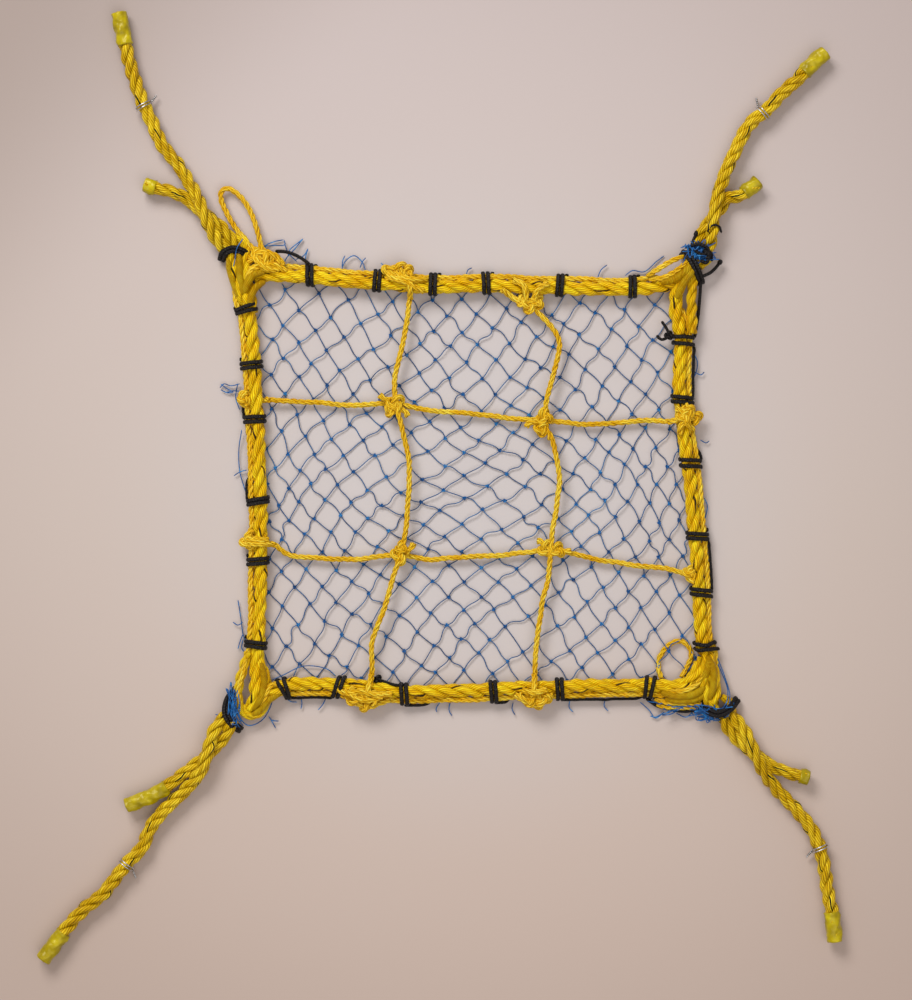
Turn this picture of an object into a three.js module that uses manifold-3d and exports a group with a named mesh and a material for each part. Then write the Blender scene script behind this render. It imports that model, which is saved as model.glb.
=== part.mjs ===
// Folding crab trap: a square net panel inside a rope frame, with a rope leg on each corner.
// The panel folds in half about a line across its middle, the legs lift to be gathered overhead,
// and a hanging loop swings on one corner.
// Millimetres, +Z up. It lies flat on z = 0, and the origin is under the middle of the net.
// Back is +Y, front is -Y, left is -X, right is +X.
import * as THREE from "three";
import { mergeVertices } from "three/addons/utils/BufferGeometryUtils.js";
import Module from "manifold-3d";

const wasm = await Module();
wasm.setup();

// Driving dimensions
const ROPE_R = 4.75; // frame rope and leg rope
const TWINE_R = 2; // edge, grid and loop twine
const LASH_R = 1.1; // black lashing twine
const GAP = 0.3; // clearance between neighbouring pieces
const ROPE_Z = 7.25; // height of the middle of the frame rope
const EDGE_Z = 4.5; // height of the middle of the edge twine
const EDGE_OUT = 6.52; // edge twine, outward of the frame rope
const BUNDLE_OUT = 1.87; // middle of rope plus edge twine, outward of the frame rope
const BELT_GAP = 0.45; // clearance between a turn of twine and the rope inside it
const LASH_WALL = 1.8; // thickness of a lashing turn lying on the bundle
const LASH_WIDTH = 4.6; // two turns side by side
const KNOT_WIDTH = 7; // grid twine hitched round the frame
const LASH_OUT = EDGE_OUT + TWINE_R + BELT_GAP + LASH_R; // running line of a lashing
const LASH_OUT_AT_KNOT = LASH_OUT + LASH_WALL + 2 * GAP;
const NET_THICK = 1.2;
const NET_IN = ROPE_R + BELT_GAP + LASH_WALL + 1; // net edge, inward of the frame rope
const LENGTHWISE_Z = 9; // grid twines where they cross
const CROSSWISE_Z = 4.6;
const FOLD_X = -8; // line that the panel folds about
const FOLD_GAP = 0.25; // from the fold line to each half
const EYE_R = 3.75; // rope of a corner eye
const EYE_HALF = 4.4; // half the spacing of its two legs
const LEG_AXIS = 16.5; // from a corner seizing out to the leg's hinge line
const LEG_SHIFT = 3.15; // leg rope beside the middle of its doubled neck
const SPLICE_SHIFT = 5.15; // tucked end beside the middle of the neck
const SPLICE_R = 3;
const TAIL_R = 4.5;
const TAPE_WALL = 0.8;
const TAPE_GAP = 0.4;
const TAPE_END = 0.35; // clearance past the cut end of a rope
const WIRE = 1; // thickness of a wire tie
const WIRE_INSIDE_R = 5.4;
// Length of one straight piece of a bar, for each kind of line
const ROPE_STEP = 15;
const TWINE_STEP = 13;
const LINE_STEP = 6.5;
const LOOP_STEP = 6;
const EYE_STEP = 3.6;

// The frame, corner by corner counter-clockwise, as the middle of rope plus edge twine.
// along is the coordinate that the stations of lashings and knots are counted in.
const SIDES = {
  front: {
    along: "x",
    route: [[-140, -137], [-123.4, -132.7], [-86.8, -132], [-44.2, -136.6], [14.5, -135],
      [58.1, -133.3], [117.5, -132], [151, -138.2]],
    lashings: [-123.4, -86.8, -44.2, 14.5, 58.1, 117.5],
    knots: [-70.6, 41],
  },
  right: {
    along: "y",
    route: [[160.2, -135.5], [153.5, -104.9], [151.1, -68.6], [148.5, -31.7], [143.9, 16.5],
      [138.6, 58.1], [139.3, 97.4], [142.2, 135.5]],
    lashings: [-104.9, -68.6, -31.7, 16.5, 58.1, 97.4],
    knots: [-56, 44.2],
  },
  back: {
    along: "x",
    route: [[131.5, 133.6], [106.1, 132.1], [58.1, 132.9], [9.9, 134.3], [-25.3, 133.6],
      [-62, 136], [-106.3, 139.6], [-143, 143.1]],
    lashings: [106.1, 58.1, 9.9, -25.3, -62, -106.3],
    knots: [39, -43],
  },
  left: {
    along: "y",
    route: [[-154.2, 141.5], [-148.8, 118.1], [-145.5, 80.9], [-143.4, 45.2], [-141.2, -8.6],
      [-141.2, -48.2], [-142.6, -103.3], [-149.8, -135.5]],
    lashings: [118.1, 80.9, 45.2, -8.6, -48.2, -103.3],
    knots: [58.4, -38],
  },
};

// Grid twines: stations of their end knots on two sides, and the route between them.
const LENGTHWISE = {
  left: { from: -43, to: -70.6, route: [[-45.5, 93.7], [-51.5, 67.3], [-50.2, 54.8], [-45.5, 37.6],
    [-41.6, 11.2], [-42.2, -15.2], [-47.5, -44.9], [-57.4, -77.9], [-65.3, -101]] },
  right: { from: 39, to: 41, route: [[55.4, 100.3], [56.8, 87.1], [46.9, 43.6], [52.8, 31],
    [56.8, 11.2], [56.1, -8.6], [51.5, -40.9], [50.2, -58.1], [45.5, -81.2], [42, -105]] },
};
const CROSSWISE = {
  back: { from: 58.4, to: 44.2, route: [[-113.5, 56.1], [-80.5, 54.1], [-50.2, 54.8], [-34.3, 51.5],
    [FOLD_X, 48.8], [31.7, 44.9], [46.9, 43.6], [71.3, 41.6], [97.7, 42.2], [118, 43.8]] },
  front: { from: -38, to: -56, route: [[-120.1, -44.9], [-93.7, -47.2], [-67.3, -46.9],
    [-47.5, -44.9], [-27.7, -47.5], [FOLD_X, -46.6], [38.3, -42.9], [51.5, -40.9], [84.5, -48.2],
    [110.9, -52.1], [128, -53.6]] },
};
const CROSSINGS = {
  back_left: [-50.2, 54.8],
  back_right: [46.9, 43.6],
  front_left: [-47.5, -44.9],
  front_right: [51.5, -40.9],
};

// Corner legs. at is the middle of the corner seizing and toward the way that the leg leaves it.
// tailSide is +1 where the short tail leaves on the left of the leg, seen going outward.
const LEGS = {
  back_left: {
    at: [-155.8, 152.5],
    toward: [-0.59, 0.81],
    tailSide: 1,
    neck: [[-172, 174.9], [-181.5, 187]],
    route: [[-190.1, 199.3], [-196.9, 213.8], [-205.7, 228.8], [-211.2, 241.2], [-217.1, 252.9],
      [-223.7, 273.6], [-227.1, 286.4], [-232.5, 311.5]],
    tail: [[-198.5, 194.4], [-207, 196.4], [-215.2, 198.7]],
    tapeLength: 21,
    tailTape: 8,
    wireAt: 0.61,
  },
  back_right: {
    at: [145.9, 146.5],
    toward: [0.41, 0.91],
    tailSide: -1,
    neck: [[159.1, 177.9], [163, 186]],
    route: [[167.6, 198.7], [171.2, 212.2], [176.6, 227.7], [184.1, 240.2], [193.4, 247.9],
      [203.5, 258.9], [214.4, 268.1], [223.7, 278.2], [232.1, 285.8]],
    tail: [[176.5, 191.5], [182.5, 196], [188.1, 200.5]],
    tapeLength: 19,
    tailTape: 12,
    wireAt: 0.62,
  },
  front_left: {
    at: [-157.1, -148.5],
    toward: [-0.55, -0.84],
    tailSide: -1,
    neck: [[-171.5, -171.5], [-178.9, -182.5]],
    route: [[-188.4, -194], [-203.5, -212.9], [-211.9, -224.3], [-217.1, -237.5], [-225.4, -246.2],
      [-235, -257.7], [-244.3, -269], [-253.8, -276.5], [-264.7, -288], [-282.2, -310.7]],
    tail: [[-200.5, -197], [-209.2, -202.5], [-218, -206.2], [-227, -209.9]],
    tapeLength: 23,
    tailTape: 20,
    wireAt: 0.56,
  },
  front_right: {
    at: [165, -147.2],
    toward: [0.58, -0.82],
    tailSide: 1,
    neck: [[184.1, -174], [193.1, -184.1]],
    route: [[201.3, -194], [209.6, -205.9], [216.5, -216.5], [222.4, -224.1], [229.5, -238.9],
      [232.3, -252.6], [233.9, -266.3], [236.1, -277.2], [238.9, -298.6]],
    tail: [[211.5, -189], [216, -190.2], [221, -191.5]],
    tapeLength: 20,
    tailTape: 6,
    wireAt: 0.6,
  },
};

// Hanging loop on the back left corner and the loop trapped under the net at the front right.
const BACK_LOOP = { knot: [-137.5, 158.5], route: [[-139.5, 162], [-148, 170], [-155, 178.5],
  [-159.5, 187], [-158.8, 194], [-153.2, 193.6], [-147.4, 184], [-142.5, 173], [-137.2, 162]] };
const FRONT_LOOP = { knot: [132, -121], route: [[129, -120.5], [124.7, -115.1], [127.6, -108.2],
  [134.3, -103.6], [140.4, -104], [143.6, -109.6], [142.3, -115.5], [134.5, -120.5]] };

// Materials
function material(color, roughness, metalness = 0) {
  return new THREE.MeshStandardMaterial({ color, roughness, metalness });
}
const MATERIALS = {
  rope: material(0xdcb414, 0.55),
  twine: material(0xd9a010, 0.55),
  lashing: material(0x2a2124, 0.6),
  net: material(0x4a6f94, 0.5),
  tape: material(0xccc20a, 0.35),
  wire: material(0xb4b6b8, 0.35, 1),
};

// Solids
function toSolid(geometry) {
  geometry.deleteAttribute("normal");
  geometry.deleteAttribute("uv");
  const merged = mergeVertices(geometry, 1e-4);
  return new wasm.Manifold(new wasm.Mesh({
    numProp: 3,
    vertProperties: new Float32Array(merged.attributes.position.array),
    triVerts: new Uint32Array(merged.index.array),
  }));
}

function toGeometry(solid) {
  const { vertProperties, triVerts } = solid.getMesh();
  const geometry = new THREE.BufferGeometry();
  geometry.setAttribute("position", new THREE.BufferAttribute(vertProperties, 3));
  geometry.setIndex(new THREE.BufferAttribute(triVerts, 1));
  geometry.computeVertexNormals();
  return geometry;
}

function lift(points, z) {
  return points.map(([x, y]) => new THREE.Vector3(x, y, z));
}

function curveThrough(points) {
  return new THREE.CatmullRomCurve3(points, false, "centripetal");
}

// A round bar along a smooth line, with flat ends, in straight pieces about a step long.
function bar(points, radius, sides, step) {
  const path = curveThrough(points);
  const section = new THREE.Shape();
  for (let k = 0; k < sides; k += 1) {
    const angle = ((k + 0.5) / sides) * 2 * Math.PI;
    section[k ? "lineTo" : "moveTo"](radius * Math.cos(angle), radius * Math.sin(angle));
  }
  const steps = Math.max(2, Math.round(path.getLength() / step));
  return toSolid(new THREE.ExtrudeGeometry(section, { steps, extrudePath: path }));
}

function ball(center, radius, flatten = 1) {
  const geometry = new THREE.SphereGeometry(radius, 10, 6);
  geometry.scale(1, 1, flatten);
  geometry.translate(center.x, center.y, center.z);
  return toSolid(geometry);
}

// A flat outline extruded by width, centred on a place, its x axis along outward and its y axis up.
function slice(shape, width, place, outward) {
  const geometry = new THREE.ExtrudeGeometry(shape, {
    depth: width,
    bevelEnabled: false,
    curveSegments: 5,
  });
  geometry.translate(0, 0, -width / 2);
  const up = new THREE.Vector3(0, 0, 1);
  const sideways = new THREE.Vector3().crossVectors(outward, up);
  geometry.applyMatrix4(new THREE.Matrix4().makeBasis(outward, up, sideways));
  geometry.translate(place.x, place.y, place.z);
  return toSolid(geometry);
}

// Corners of an arc. Scaled by roomy, its straight pieces touch the true arc from outside.
function arcPoints(x, y, radius, from, to, pieces, roomy) {
  const half = (to - from) / pieces / 2;
  const reach = roomy ? radius / Math.cos(half) : radius;
  return Array.from({ length: pieces + 1 }, (_, k) => new THREE.Vector2(
    x + reach * Math.cos(from + 2 * half * k),
    y + reach * Math.sin(from + 2 * half * k),
  ));
}

// The tight outline round two circles, each [x, y, radius], grown by margin.
function beltOutline(first, second, margin, roomy) {
  const [x1, y1, r1] = first;
  const [x2, y2, r2] = second;
  const facing = Math.atan2(y2 - y1, x2 - x1);
  const lean = Math.acos((r1 - r2) / Math.hypot(x2 - x1, y2 - y1));
  return [
    ...arcPoints(x2, y2, r2 + margin, facing - lean, facing + lean, 3, roomy),
    ...arcPoints(x1, y1, r1 + margin, facing + lean, facing - lean + 2 * Math.PI, 5, roomy),
  ];
}

function belt(first, second, wall, width, place, outward) {
  const shape = new THREE.Shape(beltOutline(first, second, BELT_GAP + wall, false));
  shape.holes.push(new THREE.Path(beltOutline(first, second, BELT_GAP, true)));
  return slice(shape, width, place, outward);
}

// Stations along a side of the frame
function sideCurve(side) {
  const shape = curveThrough(lift(side.route, 0));
  const inner = shape.getSpacedPoints(16).map((point, index) => {
    const tangent = shape.getTangentAt(index / 16);
    return point.add(new THREE.Vector3(-tangent.y, tangent.x, 0).multiplyScalar(BUNDLE_OUT));
  });
  return curveThrough(inner);
}
for (const side of Object.values(SIDES)) {
  side.curve = sideCurve(side);
}

function shareAt(side, value) {
  let [low, high] = [0, 1];
  const rising = side.curve.getPointAt(1)[side.along] > side.curve.getPointAt(0)[side.along];
  for (let k = 0; k < 30; k += 1) {
    const middle = (low + high) / 2;
    const reached = side.curve.getPointAt(middle)[side.along] > value;
    if (reached === rising) {
      high = middle;
    } else {
      low = middle;
    }
  }
  return (low + high) / 2;
}

// A point on a side: outward of the middle of its rope, at height z.
function pointOn(side, value, out, z) {
  const share = shareAt(side, value);
  const normal = outwardAt(side, value);
  return side.curve.getPointAt(share).addScaledVector(normal, out).setZ(z);
}

function outwardAt(side, value) {
  const tangent = side.curve.getTangentAt(shareAt(side, value));
  return new THREE.Vector3(tangent.y, -tangent.x, 0).normalize();
}

function lineOn(side, from, to, out, z) {
  const count = Math.max(4, Math.round(Math.abs(to - from) / ROPE_STEP));
  return Array.from({ length: count + 1 }, (_, k) => (
    pointOn(side, from + ((to - from) * k) / count, out, z)));
}

function endsOf(side) {
  return [side.curve.getPointAt(0)[side.along], side.curve.getPointAt(1)[side.along]];
}

function bundleBelt(side, value, width) {
  const rope = [0, ROPE_Z, ROPE_R];
  const edge = [EDGE_OUT, EDGE_Z, TWINE_R];
  return belt(rope, edge, LASH_WALL, width, pointOn(side, value, 0, 0), outwardAt(side, value));
}

// Pieces of the frame
function frameRope(side, from, to) {
  return bar(lineOn(side, from, to, 0, ROPE_Z), ROPE_R, 10, ROPE_STEP);
}

function edgeTwine(side, from, to) {
  return bar(lineOn(side, from, to, EDGE_OUT, EDGE_Z), TWINE_R, 6, ROPE_STEP);
}

// Double turns round rope and edge twine, joined by a running line that steps out round each knot.
function lashing(side, from, to) {
  const within = (value) => (value - from) * (value - to) < 0;
  const onward = Math.sign(to - from);
  const turns = side.lashings.filter(within);
  const stations = turns.flatMap((value) => [
    { value: value - onward * (LASH_WIDTH / 2), out: LASH_OUT },
    { value: value + onward * (LASH_WIDTH / 2), out: LASH_OUT },
  ]);
  for (const value of side.knots.filter(within)) {
    stations.push({ value: value - onward * 4.4, out: LASH_OUT_AT_KNOT });
    stations.push({ value: value + onward * 4.4, out: LASH_OUT_AT_KNOT });
  }
  stations.push({ value: from, out: LASH_OUT }, { value: to, out: LASH_OUT });
  stations.sort((a, b) => (a.value - b.value) * onward);
  const line = stations.map(({ value, out }) => pointOn(side, value, out, EDGE_Z));
  return turns.reduce(
    (whole, value) => whole.add(bundleBelt(side, value, LASH_WIDTH)),
    bar(line, LASH_R, 6, LINE_STEP),
  );
}

// The line of a grid twine, with its ends under the knots on the frame where it has them.
function gridLine(start, finish, route, z) {
  const underKnot = ({ side, value }) => (
    pointOn(side, value, -(ROPE_R + BELT_GAP + LASH_WALL / 2), ROPE_Z));
  return [
    ...(start ? [underKnot(start)] : []),
    ...lift(route, z),
    ...(finish ? [underKnot(finish)] : []),
  ];
}

function gridTwine(line, ends) {
  return ends.reduce(
    (whole, { side, value }) => whole.add(bundleBelt(side, value, KNOT_WIDTH)),
    bar(line, TWINE_R, 6, TWINE_STEP),
  );
}

function crossingKnot([x, y], lines) {
  const blob = ball(new THREE.Vector3(x, y, (LENGTHWISE_Z + CROSSWISE_Z) / 2), 8.2, 0.68);
  return lines.reduce((whole, line) => (
    whole.subtract(bar(line, TWINE_R + GAP, 6, TWINE_STEP))), blob);
}

function netHalf(stretches) {
  const outline = stretches.flatMap(({ side, from, to }) => lineOn(side, from, to, -NET_IN, 0));
  const shape = new THREE.Shape(outline.map(({ x, y }) => new THREE.Vector2(x, y)));
  return toSolid(new THREE.ExtrudeGeometry(shape, { depth: NET_THICK, bevelEnabled: false }));
}

// Pieces of a corner
function legFrame({ at, toward }) {
  const out = new THREE.Vector3(toward[0], toward[1], 0).normalize();
  const left = new THREE.Vector3(-out.y, out.x, 0);
  const place = (along, aside, z = ROPE_Z) => (
    new THREE.Vector3(at[0], at[1], z).addScaledVector(out, along).addScaledVector(left, aside));
  return { out, left, place };
}

function cornerEye(leg) {
  const { place } = legFrame(leg);
  const bend = 2;
  const points = [place(-6, EYE_HALF), place(-2, EYE_HALF)];
  for (let k = 0; k <= 6; k += 1) {
    const angle = (k / 6) * Math.PI;
    points.push(place(bend + EYE_HALF * Math.sin(angle), EYE_HALF * Math.cos(angle)));
  }
  points.push(place(-2, -EYE_HALF), place(-6, -EYE_HALF));
  return bar(points, EYE_R, 10, EYE_STEP);
}

function cornerSeizing(leg) {
  const { left, place } = legFrame(leg);
  const wall = 1.6;
  const eyeLeg = (aside) => [aside, 0, EYE_R];
  return belt(eyeLeg(-EYE_HALF), eyeLeg(EYE_HALF), wall, 6, place(-1.5, 0), left);
}

function beside(points, aside) {
  const path = curveThrough(points);
  return points.map((point, index) => {
    const tangent = path.getTangent(index / (points.length - 1));
    return point.clone().add(new THREE.Vector3(-tangent.y, tangent.x, 0).multiplyScalar(aside));
  });
}

function neckLine(leg) {
  const { place } = legFrame(leg);
  return [place(LEG_AXIS, 0), ...lift(leg.neck, ROPE_Z)];
}

function legLine(leg) {
  const neck = neckLine(leg);
  const whole = [...neck, ...lift(leg.route, ROPE_Z)];
  const fading = whole.map((_, index) => {
    const past = index - neck.length;
    return past < 0 ? 1 : Math.max(0, 0.75 - 0.4 * past);
  });
  const shifted = beside(whole, -leg.tailSide * LEG_SHIFT);
  return whole.map((point, index) => point.clone().lerp(shifted[index], fading[index]));
}

function legRope(leg) {
  const line = legLine(leg);
  return bar(line, ROPE_R, 10, ROPE_STEP).add(ball(line[0], ROPE_R));
}

function splice(leg) {
  const neck = beside([...neckLine(leg), ...lift(leg.route, ROPE_Z)], leg.tailSide * SPLICE_SHIFT)
    .slice(0, leg.neck.length + 1);
  const tail = lift(leg.tail, ROPE_Z);
  const tucked = bar([...neck, tail[0], tail[1]], SPLICE_R, 8, TWINE_STEP);
  return tucked.add(ball(neck[0], SPLICE_R)).add(bar(tail, TAIL_R, 10, ROPE_STEP));
}

// A taped end: a sleeve closed over the cut end of a rope.
function tapeSleeve(line, radius, length) {
  const path = curveThrough(line);
  const total = path.getLength();
  const covered = [0, 0.5, 1].map((share) => path.getPointAt(1 - (length / total) * (1 - share)));
  const heading = path.getTangentAt(1);
  const pastEnd = (amount) => path.getPointAt(1).addScaledVector(heading, amount);
  const outside = [...covered, pastEnd(TAPE_END + TAPE_WALL)];
  const inside = [...line.slice(0, -1), pastEnd(TAPE_END)];
  const hollow = bar(inside, radius + TAPE_GAP, 10, ROPE_STEP);
  return bar(outside, radius + TAPE_GAP + TAPE_WALL, 10, ROPE_STEP).subtract(hollow);
}

function wireTie(leg) {
  const path = curveThrough(legLine(leg));
  const tangent = path.getTangentAt(leg.wireAt);
  const across = new THREE.Vector3(-tangent.y, tangent.x, 0).normalize();
  const loop = new THREE.Shape().absarc(0, 0, WIRE_INSIDE_R + WIRE, 0, 2 * Math.PI, false);
  loop.holes.push(new THREE.Path().absarc(0, 0, WIRE_INSIDE_R, 0, 2 * Math.PI, false));
  return slice(loop, 1.4 * WIRE, path.getPointAt(leg.wireAt), across);
}

function loopLine({ knot, route }, z) {
  return lift([knot, ...route, knot], z);
}

// A loop of twine closed by a knot, in two bars that meet at a ball.
function twineLoop(line, radius, knotRadius, knotFlatten) {
  const half = Math.floor(line.length / 2);
  return bar(line.slice(0, half + 1), radius, 6, LOOP_STEP)
    .add(bar(line.slice(half), radius, 6, LOOP_STEP))
    .add(ball(line[half], radius))
    .add(ball(line[0], knotRadius, knotFlatten));
}

// Assembly
const trap = new THREE.Group();
function addPiece(name, solid, look) {
  const mesh = new THREE.Mesh(toGeometry(solid), MATERIALS[look].clone());
  mesh.name = name;
  trap.add(mesh);
}

// Front and back are in two halves that meet at the fold, left and right are whole.
const STRETCHES = [];
for (const [name, side] of Object.entries(SIDES)) {
  const [from, to] = endsOf(side);
  if (side.along === "y") {
    STRETCHES.push({ name, side, from, to });
  } else {
    const onward = Math.sign(to - from);
    const [first, last] = onward > 0 ? ["left", "right"] : ["right", "left"];
    STRETCHES.push({ name: `${name}_${first}`, side, from, to: FOLD_X - onward * FOLD_GAP });
    STRETCHES.push({ name: `${name}_${last}`, side, from: FOLD_X + onward * FOLD_GAP, to });
  }
}
for (const { name, side, from, to } of STRETCHES) {
  const first = side.lashings.find((value) => (value - from) * (value - to) < 0);
  const last = side.lashings.findLast((value) => (value - from) * (value - to) < 0);
  const onward = Math.sign(to - from);
  const atFold = (value) => Math.abs(value - FOLD_X) < 1;
  addPiece(`frame_rope_${name}`, frameRope(side, from, to), "rope");
  addPiece(`edge_twine_${name}`, edgeTwine(side, from, to), "twine");
  const begin = atFold(from) ? from : first - onward * 6;
  const finish = atFold(to) ? to : last + onward * 6;
  addPiece(`lashing_${name}`, lashing(side, begin, finish), "lashing");
}

const gridLines = {};
for (const [name, { from, to, route }] of Object.entries(LENGTHWISE)) {
  const ends = [{ side: SIDES.back, value: from }, { side: SIDES.front, value: to }];
  gridLines[name] = gridLine(ends[0], ends[1], route, LENGTHWISE_Z);
  addPiece(`lengthwise_twine_${name}`, gridTwine(gridLines[name], ends), "twine");
}
for (const [name, { from, to, route }] of Object.entries(CROSSWISE)) {
  const fold = route.findIndex(([x]) => x === FOLD_X);
  const cut = (offset) => [FOLD_X + offset, route[fold][1]];
  const start = { side: SIDES.left, value: from };
  const finish = { side: SIDES.right, value: to };
  const leftRoute = [...route.slice(0, fold), cut(-FOLD_GAP)];
  const rightRoute = [cut(FOLD_GAP), ...route.slice(fold + 1)];
  gridLines[`${name}_left`] = gridLine(start, null, leftRoute, CROSSWISE_Z);
  gridLines[`${name}_right`] = gridLine(null, finish, rightRoute, CROSSWISE_Z);
  addPiece(`crosswise_twine_${name}_left`, gridTwine(gridLines[`${name}_left`], [start]), "twine");
  addPiece(`crosswise_twine_${name}_right`, gridTwine(gridLines[`${name}_right`], [finish]), "twine");
}
for (const [name, at] of Object.entries(CROSSINGS)) {
  const column = name.split("_")[1];
  addPiece(`crossing_knot_${name}`, crossingKnot(at, [gridLines[column], gridLines[name]]), "twine");
}

const { front, right, back, left } = SIDES;
const frontLoopLine = loopLine(FRONT_LOOP, TWINE_R + 0.1);
const roomForLoop = twineLoop(frontLoopLine, TWINE_R + 2 * GAP, 3.4 + 2 * GAP, 1).hull();
addPiece("net_left", netHalf([
  { side: back, from: FOLD_X - FOLD_GAP, to: -132 },
  { side: left, from: 128, to: -126 },
  { side: front, from: -130, to: FOLD_X - FOLD_GAP },
]), "net");
addPiece("net_right", netHalf([
  { side: front, from: FOLD_X + FOLD_GAP, to: 119 },
  { side: right, from: -98, to: 122 },
  { side: back, from: 122, to: FOLD_X + FOLD_GAP },
]).subtract(roomForLoop), "net");

for (const [name, leg] of Object.entries(LEGS)) {
  const tail = lift(leg.tail, ROPE_Z);
  addPiece(`corner_eye_${name}`, cornerEye(leg), "rope");
  addPiece(`corner_seizing_${name}`, cornerSeizing(leg), "lashing");
  addPiece(`leg_rope_${name}`, legRope(leg), "rope");
  addPiece(`leg_splice_${name}`, splice(leg), "rope");
  addPiece(`leg_tape_${name}`, tapeSleeve(legLine(leg), ROPE_R, leg.tapeLength), "tape");
  addPiece(`tail_tape_${name}`, tapeSleeve(tail, TAIL_R, leg.tailTape), "tape");
  addPiece(`wire_tie_${name}`, wireTie(leg), "wire");
}
addPiece("hanging_loop_back_left", twineLoop(loopLine(BACK_LOOP, ROPE_Z), TWINE_R, 4.6, 1), "twine");
addPiece("net_loop_front_right", twineLoop(frontLoopLine, TWINE_R, 3.4, 0.6), "twine");

export default trap;
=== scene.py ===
"""The looks of the folding crab trap: laid rope, twine, lashings, knotted net and taped ends.

Every route is in millimetres in the trap's own frame, and becomes metres where a mesh is made.
Back is +Y, front is -Y, left is -X, right is +X, and the trap lies on z = 0.
"""
import math

import bpy
import numpy as np
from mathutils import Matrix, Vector


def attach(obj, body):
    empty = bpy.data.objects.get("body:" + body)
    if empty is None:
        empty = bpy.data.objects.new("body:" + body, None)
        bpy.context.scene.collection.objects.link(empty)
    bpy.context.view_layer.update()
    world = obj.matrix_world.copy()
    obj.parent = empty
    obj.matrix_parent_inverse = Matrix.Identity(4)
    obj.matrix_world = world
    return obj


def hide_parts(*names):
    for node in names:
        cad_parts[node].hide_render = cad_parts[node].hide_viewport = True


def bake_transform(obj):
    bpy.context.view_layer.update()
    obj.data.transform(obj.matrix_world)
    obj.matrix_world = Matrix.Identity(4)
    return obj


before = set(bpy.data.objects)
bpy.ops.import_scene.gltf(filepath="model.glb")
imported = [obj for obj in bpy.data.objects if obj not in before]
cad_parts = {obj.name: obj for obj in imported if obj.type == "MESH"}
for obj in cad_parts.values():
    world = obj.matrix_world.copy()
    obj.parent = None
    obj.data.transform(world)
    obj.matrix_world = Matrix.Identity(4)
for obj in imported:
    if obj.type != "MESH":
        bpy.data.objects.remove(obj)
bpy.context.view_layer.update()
rng = np.random.default_rng(7)

# ---------------------------------------------------------------- sizes, in millimetres
MM = 0.001
ROPE_R = 4.75
ROPE_LAY = 35.0
EYE_LAY = 27.0
LEG_LAY = 31.0
TWINE_R = 1.95
TWINE_LAY = 14.0
LASH_WIDE = 2.7
LASH_THICK = 1.6
RUNNING_R = 0.945
NET_R = 0.38
ROPE_Z = 7.0
EDGE_OUT = 6.2
EDGE_Z = 5.6
FOLD_X = -8.0
FOLD_REACH = 20.0
FINE = 0.8  # the step along most lines

# Each side: the axis it runs along, which way is outward on the other axis, the rope's route, where
# the straight of it starts and ends, and the stations of its lashings
SIDES = {
    "front": {
        "along": 0, "outward": -1,
        "route": [(-138.6, -139.3, 6), (-136, -136.3, 7), (-130.7, -134.4, 7.4), (-123.4, -130.8),
                  (-86.8, -130.1), (-44.2, -134.7), (14.5, -133.1), (58.1, -131.4), (100, -130.6),
                  (117.5, -130.1), (126.7, -131.3, 7), (138.6, -130, 7.4), (145.9, -124.1, 8.4),
                  (149.2, -115.5, 8)],
        "span": (-123.4, 128),
        "lashings": [-123.4, -86.8, -44.2, 14.5, 58.1, 117.5],
    },
    "right": {
        "along": 1, "outward": 1,
        "route": [(158.4, -142.6, 6.5), (159.7, -130.7, 7), (157.7, -118.8, 7.6), (153.1, -107.6, 7),
                  (151.6, -104.9), (149.2, -68.6), (146.6, -31.7), (142, 16.5), (136.7, 58.1),
                  (137.2, 97.4), (136, 106.3, 7), (134, 118.1, 7), (136, 131.3, 7.4), (140.6, 141.9, 8),
                  (144.5, 149.2, 8)],
        "span": (-112, 112),
        "lashings": [-104.9, -68.6, -31.7, 16.5, 58.1, 97.4],
    },
    "back": {
        "along": 0, "outward": 1,
        "route": [(136.6, 132.7, 5.2), (129.4, 132.7, 6.4), (106.1, 130.2), (58.1, 131), (9.9, 132.4),
                  (-25.3, 131.7), (-62, 134.1), (-106.3, 137.7), (-123.4, 139.3, 6.8),
                  (-134.6, 139.3, 6.4), (-143.2, 137.9, 5)],
        "span": (128, -124),
        "lashings": [106.1, 58.1, 9.9, -25.3, -62, -106.3],
    },
    "left": {
        "along": 1, "outward": -1,
        "route": [(-157.1, 153.8, 7), (-157.1, 145.9, 7), (-154.4, 134.6, 7), (-150.5, 124.7, 7),
                  (-147.3, 118.1, 6.8), (-143.6, 80.9), (-141.5, 45.2), (-139.3, -8.6), (-139.3, -48.2),
                  (-140.7, -103.3), (-141.9, -115.5, 7.4), (-141.9, -127.4, 8.2), (-143.2, -139.3, 8),
                  (-146.5, -145.9, 6)],
        "span": (126, -112),
        "lashings": [118.1, 80.9, 45.2, -8.6, -48.2, -103.3],
    },
}


# ---------------------------------------------------------------- lines
def arc(line):
    """How far along the line each of its points lies."""
    return np.concatenate([[0], np.cumsum(np.linalg.norm(np.diff(line, axis=0), axis=1))])


def columns(at, known, values):
    """Each column of values, read at other places than the known ones."""
    return np.stack([np.interp(at, known, column) for column in values.T], axis=1)


def evenly(line, step):
    """The same line in even steps."""
    along = arc(line)
    count = max(2, int(round(along[-1] / step)) + 1)
    return columns(np.linspace(0, along[-1], count), along, line)


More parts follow.
